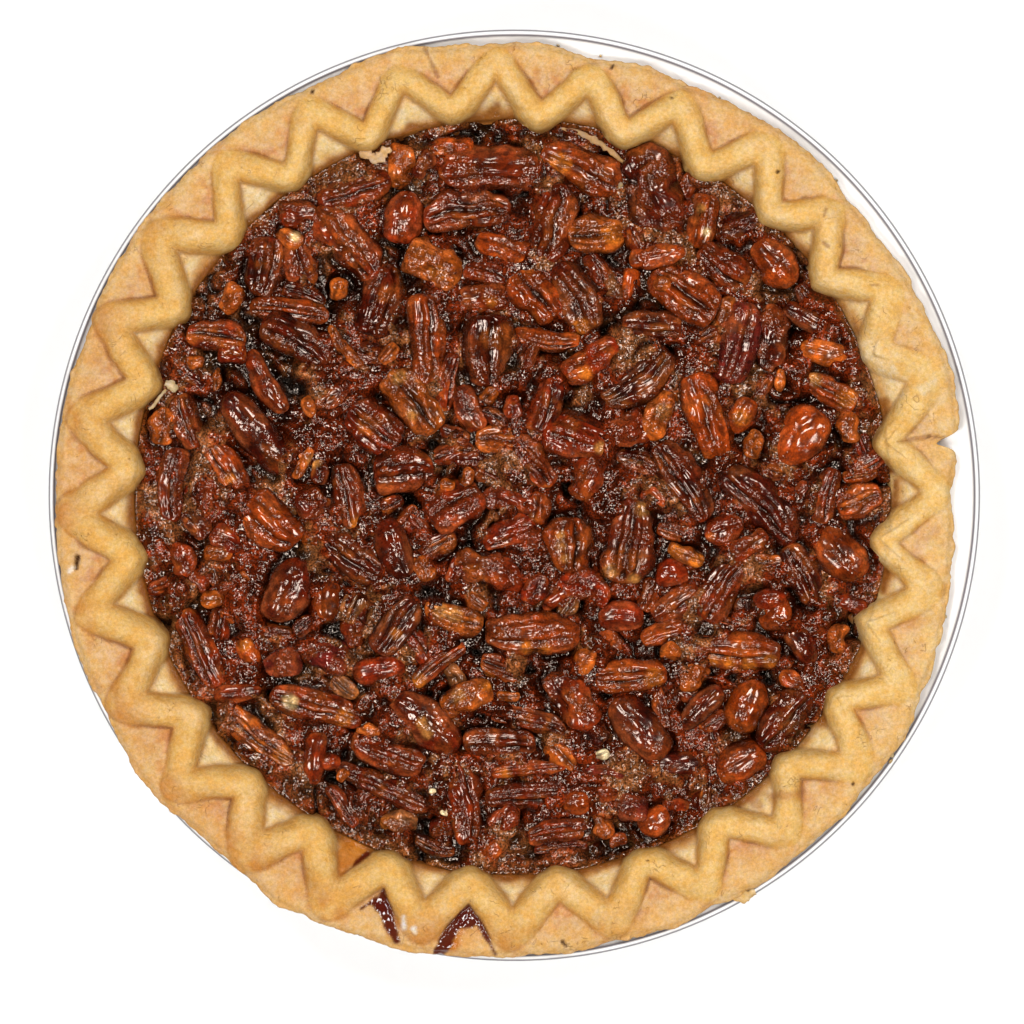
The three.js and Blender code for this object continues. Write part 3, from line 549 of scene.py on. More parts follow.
def foil_material():
    s = Shader("rolled_foil")
    crinkle = s.noise(9, 3, 0.5)
    normal = s.bump(s.noise(0.8, 2, 0.5), 0.01, s.bump(crinkle, 0.12))
    tint = s.blend(s.ramp(s.noise(4, 2, 0.5), 0.3, 0.7), (0.96, 0.96, 0.97), (1.0, 1.0, 1.0))
    # Painted shade and reflection: the rim's dark lines.
    tint = s.blend(s.attribute("fold"), tint, (0.1, 0.085, 0.1))
    s.set(Base_Color=tint, Roughness=s.ramp(crinkle, 0.3, 0.7, 0.38, 0.5), Normal=normal)
    s.set(Metallic=s.attribute("shine"))
    return s.material


# ---- Foil tin ----


def tin_profile():
    """Radius and height of the tin's section, out under the base, over the bead and back inside."""
    bead_centre, bead_z = TIN_RIM_RADIUS - BEAD_RADIUS, TIN_LEDGE_Z - BEAD_RADIUS / 2
    turns = np.radians(np.linspace(-150, 150, 41))
    bead = [(bead_centre + BEAD_RADIUS * np.cos(t), bead_z + BEAD_RADIUS * np.sin(t)) for t in turns]
    wall = np.linspace(0, 1, 12)[1:-1]
    under_z = TIN_LEDGE_Z - TIN_SHEET
    outside = [(mix(TIN_BASE_RADIUS, TIN_MOUTH_RADIUS, w) + 0.3, mix(TIN_SHEET, under_z, w)) for w in wall]
    inside = [(mix(TIN_MOUTH_RADIUS, TIN_BASE_RADIUS, w), mix(TIN_LEDGE_Z, TIN_SHEET, w)) for w in wall]
    return (
        [(30, 0), (93.4, 0), (94.6, 0.1), (95.2, TIN_SHEET)]
        + outside
        + [(TIN_MOUTH_RADIUS - 0.4, TIN_LEDGE_Z - 1.4), (TIN_MOUTH_RADIUS + 0.6, under_z)]
        + [(TIN_MOUTH_RADIUS + 5, under_z)]
        + bead
        + [(TIN_MOUTH_RADIUS + 5, TIN_LEDGE_Z), (TIN_MOUTH_RADIUS, TIN_LEDGE_Z)]
        + inside
        + [(TIN_BASE_RADIUS - 1, TIN_SHEET), (30, TIN_SHEET)]
    )


def build_tin():
    profile = tin_profile()
    angle = np.arange(TIN_COLUMNS) * 360 / TIN_COLUMNS
    rows, rim_shades, shines = [], [], []
    for radius, z in profile:
        # Painted shade and reflection: the rim's dark lines, on its top only.
        fold = sum(strength * hump(radius, centre, width) for centre, width, strength in RIM_SHADE_LINES)
        rim_shades.append(np.full(TIN_COLUMNS, fold * (z > TIN_LEDGE_Z - 0.7)))
        shines.append(np.full(TIN_COLUMNS, LEDGE_SHINE if z > TIN_LEDGE_Z - 1.2 else WALL_SHINE))
        wave = 0.1 * noise(raised(polar_points(angle, 8.0), z / 5), 1.3, 7)
        inner = smooth(TIN_RIM_RADIUS, TIN_RIM_RADIUS - 3, radius) * smooth(0, 6, z)
        rows.append(raised(polar_points(angle, radius - np.abs(wave) * inner), z))
    points = np.concatenate(rows + [[(0, 0, 0)], [(0, 0, TIN_SHEET)]])
    fold = np.r_[np.concatenate(rim_shades), 0, 0]
    shine = np.r_[np.concatenate(shines), WALL_SHINE, WALL_SHINE]
    quads, closing = grid_faces(len(profile), TIN_COLUMNS), caps(len(profile), TIN_COLUMNS)
    values = {"fold": fold, "shine": shine}
    piece = make_piece("foil_tin", points, quads, closing, foil_material(), None, values)
    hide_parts("pie_tin")


# ---- Pastry case ----

CORNERS = np.array([turn for pair in zip(INNER_TURNS, OUTER_TURNS) for turn in pair])


def along_turns(angle, column):
    """A value of the rope's turns at each angle, between its corners."""
    angles = np.r_[CORNERS[-1, 0] - 360, CORNERS[:, 0], CORNERS[0, 0] + 360]
    values = np.r_[CORNERS[-1, column], CORNERS[:, column], CORNERS[0, column]]
    return np.interp((angle - SEAM_ANGLE) % 360 + SEAM_ANGLE, angles, values)


def rope_distance(points):
    """Distance from each point, about the crust's centre, to the rope's zigzag centreline."""
    corners = polar_points(CORNERS[:, 0], CORNERS[:, 1])
    before = mix(corners, np.roll(corners, 1, 0), CORNER_CUT)
    after = mix(corners, np.roll(corners, -1, 0), CORNER_CUT)
    path = np.stack([before, (before + after + 2 * corners) / 4, after], 1).reshape(-1, 2)
    angle = np.degrees(np.arctan2(points[:, 1], points[:, 0])) % 360
    angle = np.where(angle < SEAM_ANGLE, angle + 360, angle)
    place = 3 * (np.searchsorted(CORNERS[:, 0], angle) - 1) + 1
    nearest = np.full(len(points), 1e9)
    for step in range(-7, 10):
        a = path[(place + step) % len(path)]
        edge = path[(place + step + 1) % len(path)] - a
        share = np.clip(np.sum((points - a) * edge, 1) / np.sum(edge * edge, 1), 0, 1)
        nearest = np.minimum(nearest, np.hypot(*(points - a - share[:, None] * edge).T))
    return nearest


def browned(angle):
    """Share of browning, most on the side that faced the oven's back."""
    return smooth(-0.1, 0.7, np.cos(np.radians(angle - BROWNED_ANGLE)))


def rope_width(angle):
    """Half the rope's width at each angle."""
    return ROPE_HALF_WIDTH + 0.45 * browned(angle) - 0.35 * hump(turned_by(angle, NARROW_ANGLE), 0, 45)


def well_radius(angle, radius):
    """Distance from the crust's centre to the round well's edge."""
    off = WELL_CENTRE - CRUST_CENTRE
    a = np.radians(angle)
    along = off[0] * np.cos(a) + off[1] * np.sin(a)
    return along + np.sqrt(radius**2 - off @ off + along**2)


def turned_by(angle, centre):
    """Angle from a direction, from -180 to 180 degrees."""
    return (angle - centre + 180) % 360 - 180


def marked(flat, softness, half_start, half_end, start, end):
    """How far each point lies under a mark, from 0 to 1."""
    a, b = polar_points(*start), polar_points(*end)
    cover = np.zeros(len(flat))
    near = np.flatnonzero(np.hypot(*(flat - (a + b) / 2).T) < np.hypot(*(b - a)) / 2 + 6)
    points = flat[near]
    share = np.clip(((points - a) @ (b - a)) / ((b - a) @ (b - a)), 0, 1)
    away = np.hypot(*(points - a - share[:, None] * (b - a)).T)
    ragged = 0.45 * noise(raised(points), 2.6, 77) + 0.15 * noise(raised(points), 1.1, 78)
    half = mix(half_start, half_end, share)
    away = away + ragged * np.minimum(half, 1) * (1 + softness)
    cover[near] = smooth(half + softness, half - softness, away)
    return cover


def crust_place(angle, radius):
    """What the crust's height and colour depend on, at angles and radii about its centre."""
    p = SimpleNamespace(angle=angle, radius=radius, flat=polar_points(angle, radius))
    p.solid = raised(p.flat)
    p.east = hump(turned_by(angle, FLAKY_ANGLE), 0, FLAKY_SPREAD)
    p.west = browned(angle)
    p.squash = hump(turned_by(angle, SQUASHED_ANGLE), 0, SQUASHED_SPREAD)
    wander = (0.5 + 0.3 * p.east)[:, None] * np.c_[noise(p.solid, 7, 3), noise(p.solid, 7, 4)]
    tremble = 0.16 * np.c_[noise(p.solid, 2.5, 8), noise(p.solid, 2.5, 9)]
    p.away = rope_distance(p.flat + (wander + tremble))
    p.width = rope_width(angle) * (1 + 0.06 * noise(p.solid, 11, 5) + 0.25 * p.squash)
    p.flank = np.clip(p.away / p.width, 0, 1)
    p.well = well_radius(angle, WELL_RADIUS)
    p.outside = radius > along_turns(angle, 1)
    p.out = smooth(108, 119, radius)
    p.broken = smooth(-0.7, 0.2, noise(p.solid, 5, 14))
    p.fading = 1 - smooth(110, 119, radius) * (1 - 0.6 * p.west)
    p.below = smooth(p.well + 0.1, p.well - 0.8, radius)
    return p


def crust_height(p):
    """Height of the rope, of the panels outside it and of the slopes inside it."""
    rough = fractal(p.solid, 3.2, 3, 11)
    crest = CREST_INNER_Z + (CREST_OUTER_Z - CREST_INNER_Z) * smooth(99, 108, p.radius)
    crest = crest - 1.9 * smooth(109, 119, p.radius)
    crest = crest + 0.25 * noise(p.solid, 9, 6) + 0.14 * noise(p.solid, 4, 7)
    firm = np.clip(1 - p.flank**2.8, 0, 1) ** 0.66
    soft = np.clip(1 - p.flank**2.3, 0, 1) ** 1.1
    softness = np.where(p.outside, 0.2 + 0.8 * p.out, 0.5)
    rise = mix(firm, soft, softness) * (1 - 0.42 * p.squash - 0.34 * p.east)
    panel = TIN_LEDGE_Z + mix(3.8, 5.0, smooth(105, 118, p.radius)) + 0.26 * rough
    foot = hump(p.away, p.width + 0.1, 0.34)
    crease = 0.8 * foot * (1 - 0.6 * p.squash) * (1 - 0.5 * p.east) * p.fading * p.broken
    slope = TIN_LEDGE_Z + mix(-0.9, 4.2, smooth(p.well - 1, 109.5, p.radius)) + 0.06 * rough
    slope = mix(slope, WELL_LIP_Z, p.below)
    slope = slope - 0.35 * hump(p.away, p.width + 0.2, 0.4) * smooth(101, 108, p.radius)
    z = mix(np.where(p.outside, panel - crease, slope), crest + 0.07 * rough, rise)
    edge = along_turns(p.angle, 2)
    return z - 1.5 * smooth(edge - 2.4, edge, p.radius) ** 2


def crust_colour(p, z):
    """Golden rope with a painted highlight along its crest and painted shade at its foot, cream slopes,
    pinkish panels, browner on the left. Also how wet the pastry is.
    """
    colour = np.tile(paint(241, 192, 109), (len(z), 1))

    def cover(share, screen):
        nonlocal colour
        colour = covered(colour, share, screen)

    radius, outside, flank, west, well = p.radius, p.outside, p.flank, p.west, p.well
    patch = fractal(p.solid, 14, 3, 21)
    small_patch = fractal(p.solid, 4, 2, 24)
    rope = smooth(1.02, 0.9, p.away / p.width)
    slope = ~outside * (1 - rope)
    panel = outside * (1 - rope)

    # Slopes and panels.
    cover(slope, (250, 220, 160))
    cover(panel * (1 - 0.5 * p.out), (241, 205, 149))
    near_rope = smooth(p.width + 7, p.width + 0.5, p.away)
    pink = smooth(0.05, 0.75, fractal(p.solid, 2.6, 3, 27) + 0.3 * small_patch)
    pink = pink * near_rope * (1 - 0.6 * p.out) * (1 - 0.6 * p.east)
    cover(0.66 * pink * panel, (208, 140, 94))
    cover(0.3 * smooth(0.1, 0.9, small_patch) * panel, (232, 180, 122))

    # Rope: a patchy painted highlight along the crest, and toasted parts.
    pale = smooth(0.0, 1.0, patch + 0.5 * small_patch)
    cover(0.5 * pale * rope * smooth(0.8, 0.2, flank), (250, 212, 150))
    cover(0.3 * hump(flank, 0.1, 0.5) * rope * (1 - 0.6 * west), (250, 210, 142))
    toasted = west * (0.2 + 0.6 * smooth(104, 117, radius)) * (0.8 + 0.5 * patch) * mix(0.36, 1, rope)
    cover(0.74 * toasted * (outside | (rope > 0.5)), (216, 154, 88))
    cover(0.6 * west * smooth(111, 117, radius) * rope * smooth(-0.6, 0.4, small_patch), (206, 134, 68))
    cover(0.24 * smooth(-0.2, 1, patch) * smooth(108, 118, radius), (222, 158, 84))

    # Painted shade along the rope's foot, in the creases beside it and towards the apex of each inner
    # slope.
    cover(0.4 * hump(flank, 0.95, 0.13) * outside * (1 - 0.7 * p.out), (204, 128, 60))
    cover(0.38 * hump(p.away / p.width, 1.0, 0.2) * ~outside * smooth(98, 104, radius), (202, 128, 62))
    cover(0.4 * slope * smooth(106, 110, radius), (190, 128, 72))
    foot = hump(p.away, p.width + 0.1, 0.3)
    cover(0.65 * foot * outside * p.fading * p.broken * (1 - 0.4 * p.east), (160, 92, 38))

    # Syrup that soaked into the edge of the well; the rope is also darker brown where it dips low at the
    # well's edge.
    soaked = radius + 0.5 * small_patch
    bleed = smooth(well + 4.4, well + 0.9, soaked + 0.9 * noise(p.solid, 9, 26))
    cover(0.85 * bleed * slope, (188, 120, 42))
    cover(0.85 * smooth(well + 2.3, well + 0.5, soaked) * slope, (124, 66, 14))
    cover(0.7 * smooth(35.5, 32, z) * smooth(well + 2, well, radius) * (1 - slope), (150, 90, 40))
    cover(0.85 * p.below * slope, (104, 52, 14))

    # Paler where the rope is flaky or squashed.
    cover(0.5 * p.east * smooth(-0.5, 0.5, small_patch), (252, 216, 146))
    cover(0.3 * p.squash * smooth(97, 104, radius) * smooth(114, 108, radius), (238, 205, 148))
    return colour, 0.1 * bleed * slope


def crust_form(angle, radius):
    """Height, colour and wetness of the pastry's top, with its marks."""
    p = crust_place(angle, radius)
    z = crust_height(p)
    colour, wet = crust_colour(p, z)
    for kind, depth, *shape in MARKS:
        strength, screen, mark_wet, softness = MARK_TONES[kind]
        share = marked(p.flat, softness, *shape)
        if kind in RUNNY_MARKS:
            share = share * smooth(0.86, 1.0, p.away / p.width)
        z = z - depth * share
        wet = np.maximum(wet, mark_wet * share)
        colour = covered(colour, strength * share, screen)
    return z, colour, wet


def crust_edge(angle):
    """Radius of the pastry's ragged outer edge, with its notch."""
    ring = raised(polar_points(angle, 40.0))
    edge = along_turns(angle, 2) + 0.5 * noise(ring, 2.2, 31)
    edge = edge + 0.35 * noise(ring, 0.7, 32) + 0.2 * noise(ring, 0.3, 33)
    notch = hump(turned_by(angle, NOTCH_ANGLE), 0, NOTCH_SPREAD)
    return edge - NOTCH_DEPTH * notch**0.6 * (notch > 0.02)


def build_crust():
    columns = CRUST_COLUMNS
    angle = SEAM_ANGLE + np.arange(columns) * 360 / columns
    edge = crust_edge(angle)
    tip = along_turns(angle, 1) - rope_width(angle) - 1.2
    inner = np.minimum(tip, well_radius(angle, WELL_RADIUS) - 1.2)

    # From the well's toe over the top to the edge, in its own colours.
    toe = polar_points(angle, well_radius(angle, WELL_TOE_RADIUS), CRUST_CENTRE)
    points, colours, wets = [raised(toe, CRUST_FLOOR_Z)], [], []
    for share in np.linspace(0, 1, CRUST_ROWS):
        radius = mix(inner, edge, share)
        z, colour, wet = crust_form(angle, radius)
        points.append(np.c_[polar_points(angle, radius, CRUST_CENTRE), z])
        colours.append(colour)
        wets.append(wet)

    # Down the edge and the tin's wall to the base: how far out, and the share of the way down.
    limit = TIN_LEDGE_Z + CLEARANCE
    rim_z = points[-1][:, 2]
    for out, share in ((0.25, 0.35), (0.32, 0.7), (0.1, 0.97)):
        xy = polar_points(angle, edge + out, CRUST_CENTRE)
        points.append(np.c_[xy, mix(rim_z, limit, share)])
    around = np.degrees(np.arctan2(points[-1][:, 1], points[-1][:, 0]))
    for radius, z in ((TIN_MOUTH_RADIUS - 1, limit), (TIN_BASE_RADIUS - 1, CRUST_BASE_Z)):
        points.append(raised(polar_points(around, radius), z))
    ends = [(*WELL_CENTRE, CRUST_FLOOR_Z), (0, 0, CRUST_BASE_Z)]

    # Each row below the edge is a little darker than the one above it.
    while len(colours) < len(points) - 1:
        colours.append(colours[-1] * 0.93)
        wets.append(wets[-1])
    first, last = colours[0], colours[-1]
    colour = np.concatenate([first, *colours, first[:1], last[:1]])
    wet = np.r_[wets[0], np.concatenate(wets), 0, 0]
    quads = grid_faces(len(points), columns)[:, ::-1]
    closing = [f[::-1] for f in caps(len(points), columns)]
    points = np.concatenate(points + [ends])
    piece = make_piece("pastry_case", points, quads, closing, pastry_material(), colour, {"wet": wet})
    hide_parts("pie_crust")


def flake_form(random, tone, width, height, path):
    """A thin ragged strip of pastry that lies along a path on the case or the filling."""
    rows, columns = 30, 8
    path = np.array(path, float)
    span = np.r_[0, np.cumsum(np.hypot(*np.diff(path, axis=0).T))]
    at = np.linspace(0, span[-1], rows)
    line = np.c_[np.interp(at, span, path[:, 0]), np.interp(at, span, path[:, 1])]
    for _ in range(4):
        line[1:-1] = (line[:-2] + 2 * line[1:-1] + line[2:]) / 4
    along = np.gradient(line, axis=0)
    along /= np.hypot(*along.T)[:, None]
    across = np.c_[-along[:, 1], along[:, 0]]
    offset = random.uniform(0, 900)
    v = np.tile(np.linspace(-1, 1, columns), rows)
    spot = np.repeat(at, columns) + offset
    taper = np.repeat(np.sin(np.linspace(0.25, np.pi - 0.25, rows)) ** 0.5, columns)
    edge, face = np.c_[spot, np.sign(v), v * 0], np.c_[spot, v * width, v * 0]
    ragged = 1 + 0.55 * noise(edge, 1.3, 81) + 0.35 * noise(edge, 0.6, 85)
    out = (v * width / 2 * ragged * taper)[:, None]
    xy = np.repeat(line, columns, 0) + np.repeat(across, columns, 0) * out
    lift = 0.22 * width * v**2 + 0.35 * noise(face, 2.4, 82)
    under = np.c_[xy, TIN_LEDGE_Z - 1 + height + lift]
    over = under + [0, 0, FLAKE_THICKNESS]
    sheet = grid_faces(rows, columns, closed=False)
    count = rows * columns
    rim = grid_rim(rows, columns)
    following = np.roll(rim, -1)
    sides = np.stack([rim, following, following + count, rim + count], -1)
    quads = np.concatenate([sheet, sheet[:, ::-1] + count, sides])
    shade = 1 + 0.2 * noise(face, 1.5, 86)
    return np.concatenate([under, over]), quads, [], paint(*tone) * np.r_[shade, shade][:, None], {}


def build_flakes():
    """Peeled flakes at the filling's edge, and crumbs on the tin's ledge."""
    random = np.random.default_rng(5)
    material = pastry_material()
    flakes = [flake_form(random, *peel) for peel in PEELS]
    build_heap("pastry_flakes", flakes, material)
    crumbs = []
    for angle, radius, size in CRUMBS:
        x, y = polar_points(angle, radius, CRUST_CENTRE)
        heading, length = random.uniform(0, 180), size * random.uniform(1.1, 1.5)
        cloud, quad, closing, tone, _ = nut_form(random, x, y, heading, length, size, "R", "c", 0, 0)
        cloud[:, 2] += TIN_LEDGE_Z + 0.3 * size - cloud[:, 2].mean()
        crumbs.append((cloud, quad, closing, tone, {"wet": np.zeros(len(tone))}))
    build_heap("pastry_crumbs", crumbs, material)


# ---- Filling ----


def syrup_level(radius):
    return FILLING_EDGE_Z + FILLING_DOME * (1 - smooth(0, WELL_RADIUS, radius))


def nut_footprint(points):
    """How far each point is from the nearest nut's outline, in millimetres, negative inside."""
    nearest = np.full(len(points), 1e9)
    for x, y, heading, length, width, *_ in NUTS:
        a = np.radians(heading)
        dx, dy = points[:, 0] - x, points[:, 1] - y
        u = (dx * np.cos(a) + dy * np.sin(a)) / (length / 2)
        v = (-dx * np.sin(a) + dy * np.cos(a)) / (width / 2)
        reach = (np.abs(u) ** 2.6 + np.abs(v) ** 2.6) ** (1 / 2.6)
        nearest = np.minimum(nearest, (reach - 1) * width / 2)
    return nearest


def disc_grid(cells, radius):
    """Points of a square grid pressed into a disc, evenly spread."""
    line = np.linspace(-1, 1, cells + 1)
    x, y = (a.ravel() for a in np.meshgrid(line, line, indexing="ij"))
    reach = np.where(np.abs(x) > np.abs(y), x, y)
    with np.errstate(divide="ignore", invalid="ignore"):
        angle = np.where(np.abs(x) > np.abs(y), np.pi / 4 * y / x, np.pi / 2 - np.pi / 4 * x / y)
    angle = np.nan_to_num(angle)
    return np.c_[reach * np.cos(angle), reach * np.sin(angle)] * radius


# Nearly black: the painted shade in the syrup's seams and pits, and the hidden body below.
SYRUP_DARK = (9, 3, 1)


def syrup_relief(solid, from_well, gap):
    """Height of the syrup above its level, and its seams, pits, froth and lumps."""
    s = SimpleNamespace()
    s.lumps = np.abs(noise(solid, 3.1, 41)) + 0.5 * np.abs(noise(solid, 1.7, 42))
    swell = fractal(solid, 8, 3, 43)
    s.froth = noise(solid, 1.5, 45) + 0.7 * noise(solid, 0.9, 46)
    edge = smooth(WELL_RADIUS - 2, WELL_RADIUS - 0.2, from_well)
    z = syrup_level(from_well) + (1.3 * s.lumps + 1.4 * swell) * (1 - 0.7 * edge)
    z = z + 0.15 * s.froth * (1 - edge)
    flood = smooth(-0.1, 0.6, noise(solid, 10, 57)) * smooth(-4, -0.5, gap) * smooth(4, 1, gap)
    flood = flood * (1 - edge)
    seam = smooth(2.2, 0.7, gap) * smooth(-0.4, 0.3, noise(solid, 5, 53)) * (1 - edge)
    s.seam = seam * (1 - flood)
    z = z + 0.6 * smooth(4, 2, gap) - 1.8 * s.seam + 1.0 * flood + 0.35 * edge
    pits = hump(noise(solid, 7, 48), 0, 0.15) * smooth(-0.1, 0.4, noise(solid, 12, 49))
    pits = pits * smooth(0.1, 0.8, gap)
    for x, y, radius in HOLES:
        away = np.hypot(*(solid[:, :2] - [x, y]).T) + 0.8 * s.froth
        pits = np.maximum(pits, smooth(radius + 0.7, radius - 0.6, away))
    s.pits = pits
    s.z = z - PIT_DEPTH * pits
    return s


def syrup_colour(s, solid, from_well):
    """Dark brown, rusty in patches, tan where it frothed, and painted nearly black as shade in the seams
    beside the nuts and in the pits.
    """
    cloud = fractal(solid, 9, 4, 51)
    shore = 0.45 * smooth(90, 95, from_well) * smooth(-0.1, 0.7, noise(solid, 14, 58) + 0.3 * s.froth)
    foam = np.maximum(smooth(0.1, 0.8, cloud + 0.45 * s.froth), shore) * (1 - s.pits)
    rusty = smooth(-0.5, 0.6, fractal(solid, 6, 3, 55))
    soaked = smooth(WELL_RADIUS - 1.8, WELL_RADIUS - 0.4, from_well + 0.6 * noise(solid, 5, 59))
    colour = mix(paint(85, 27, 6), paint(116, 38, 9), rusty[:, None])
    colour = colour * mix(0.45, 1.15, smooth(0.05, 0.8, s.lumps))[:, None]
    colour = covered(colour, 0.6 * foam, (154, 96, 52))
    # Painted shade in the seams beside the nuts.
    colour = covered(colour, 0.9 * s.seam, SYRUP_DARK)
    colour = covered(colour, 0.7 * soaked, (122, 66, 24))
    # Painted shade in the pits.
    return covered(colour, 1.2 * s.pits, SYRUP_DARK)


def build_syrup():
    flat = disc_grid(FILLING_CELLS, WELL_RADIUS - SYRUP_GAP)
    from_well = np.hypot(*flat.T)
    xy = flat + WELL_CENTRE
    solid = raised(xy)
    relief = syrup_relief(solid, from_well, nut_footprint(xy))
    colour = syrup_colour(relief, solid, from_well)

    # The body below: a wall from the grid's rim in to a flat base.
    side = FILLING_CELLS + 1
    rim = np.roll(grid_rim(side, side)[::-1], 1)
    base_z = CRUST_FLOOR_Z + CLEARANCE
    wall = raised((xy[rim] - WELL_CENTRE) * BASE_SHARE + WELL_CENTRE, base_z)
    points = np.concatenate([np.c_[xy, relief.z], wall, [(*WELL_CENTRE, base_z)]])
    base, centre = len(xy), len(xy) + len(rim)
    following = np.roll(np.arange(len(rim)), -1)
    walls = np.stack([rim[following], rim, base + np.arange(len(rim)), base + following], -1)
    quads = np.concatenate([grid_faces(side, side, closed=False), walls])
    closing = [(centre, int(base + f), int(base + i)) for i, f in enumerate(following)]

    below = len(rim) + 1
    colour = np.concatenate([colour, np.tile(paint(*SYRUP_DARK), (below, 1))])
    calm = np.r_[np.clip(relief.pits + 0.8 * relief.seam, 0, 1), np.ones(below)]
    piece = make_piece("baked_syrup", points, quads, closing, syrup_material(), colour, {"calm": calm})
    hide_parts("pecan_filling")


# Screen colours of the nuts.
TONES = {
    "d": (84, 21, 6), "p": (102, 30, 22), "m": (119, 37, 10), "r": (132, 36, 10),
    "o": (154, 58, 14), "a": (170, 78, 22), "t": (142, 84, 44), "c": (255, 230, 178),
}
# Of each kind of nut: bluntness of the ends, size of the lumps, amber share, how crisp its skin is.
KINDS = {
    "B": (0.5, 0.1, 0.3, 0.6), "F": (0.52, 0.15, 0.5, 0.8), "S": (0.72, 0.07, 0.14, 0.25),
    "R": (0.6, 0.3, 0.22, 1.0), "C": (0.6, 0.26, 0.35, 0.8),
}
# Rows and columns of a nut, by how fine it is: crumb, small, large.
NUT_GRIDS = {0: (12, 13), 1: (24, 26), 2: (40, 37)}
GRAIN_SHARE = 0.5  # how far the skin's grain is stretched along a nut
HEAPS = {"pecan_backs": "B", "pecan_faces": "F", "pecan_smooth_pieces": "SR", "pecan_chips": "C"}
# Small bits between the nuts: size, tries and room that each needs, as a share of its size.
BITS = [(8.5, 900, 0.36), (6.5, 1300, 0.36), (5, 1200, 0.34)]
BIT_TONES = {"d": 0.34, "m": 0.36, "r": 0.1, "o": 0.1, "a": 0.04, "t": 0.06}
BIT_KINDS = {"R": 0.4, "B": 0.35, "F": 0.25}
BIT_REACH = 94.5  # from the well's centre


def nut_grooves(kind, random, v, wiggle, fade):
    """Depth of the grooves along a nut, as a share of its thickness, across it at v."""
    shift = random.uniform(-0.14, 0.14)
    main = random.uniform(0.3, 0.5)
    other = main * random.uniform(0.35, 1.0)
    spread = random.uniform(0.26, 0.38)
    v = v + wiggle + shift
    if kind == "B":
        deep = main * hump(v, -spread, 0.16) + other * hump(v, spread, 0.16)
        return (deep + 0.14 * (hump(v, -0.72, 0.12) + hump(v, 0.72, 0.12))) * fade
    if kind == "F":
        beside = hump(v, 0.5, 0.14) + 0.8 * hump(v, -0.55, 0.12)
        return (0.55 * hump(v, 0, 0.18) + other * beside) * fade
    if kind == "C":
        return 0.6 * main * hump(v, 0.1, 0.2) * fade
    return 0.35 * main * hump(v, 0.2, 0.12) * fade


def nut_shape(random, length, width, kind, fine):
    """One nut lying along x about its own middle, and what its colour is worked out from."""
    rows, columns = NUT_GRIDS[fine]
    blunt, lump, _, crisp = KINDS[kind]
    n = SimpleNamespace()
    t = np.linspace(0, np.pi, rows + 2)[1:-1]
    u = -np.cos(t)
    top = int(columns * 0.75)
    under = np.linspace(np.pi, 2 * np.pi, columns - top + 2)[1:-1]
    uu, aa = np.meshgrid(u, np.r_[np.linspace(0, np.pi, top), under], indexing="ij")
    girth = np.sin(t) ** blunt * (1 + random.uniform(-0.16, 0.16) * u)
    girth = np.repeat(girth[:, None], columns, 1)
    half_height = 1.2 + 0.26 * width
    across, n.up = np.cos(aa), np.sin(aa)
    offset = random.uniform(0, 4000, 3)
    local = np.stack([uu * length / 2, across * girth * width / 2, n.up * girth * half_height], -1)
    n.cloud = local + offset

    # Grooves, then lumps and wrinkles.
    start, level = uu * length / 2 + offset[0], np.full(uu.shape, offset[1])
    wiggle = 0.16 * noise(np.stack([start, level, level], -1), 5, 61)
    fade = smooth(1.0, 0.75, np.abs(uu)) * (n.up > 0) * smooth(0, 0.3, n.up)
    n.groove = nut_grooves(kind, random, across, wiggle, fade) * (0.75 + 0.35 * noise(n.cloud, 4, 63))
    n.coarse = noise(n.cloud, max(width * 0.5, 2.2), 62)
    n.medium = noise(n.cloud, 2.4, 64)
    n.wrinkle = noise(n.cloud * [0.4, 1, 1], 1.9, 66)
    bumps = 1.25 * lump * (n.coarse + 0.6 * n.medium) + 0.06 * crisp * n.wrinkle
    swell = 1 - n.groove + bumps
    local = local * np.stack([1 + 0.35 * bumps, swell, swell], -1)

    # A wavy outline, a bend and a tilt.
    n.side = np.stack([start, np.sign(across) * 9 + offset[1], level], -1)
    local[..., 1] *= 1 + 0.12 * noise(n.side, 5, 67) * np.abs(across)
    local[..., 1] += random.uniform(-0.06, 0.06) * length * (uu**2 - 0.3)
    pitch, roll = random.uniform(-0.13, 0.13), random.uniform(-0.22, 0.22)
    local[..., 2] += pitch * local[..., 0] + roll * local[..., 1]
    n.local = local
    return n


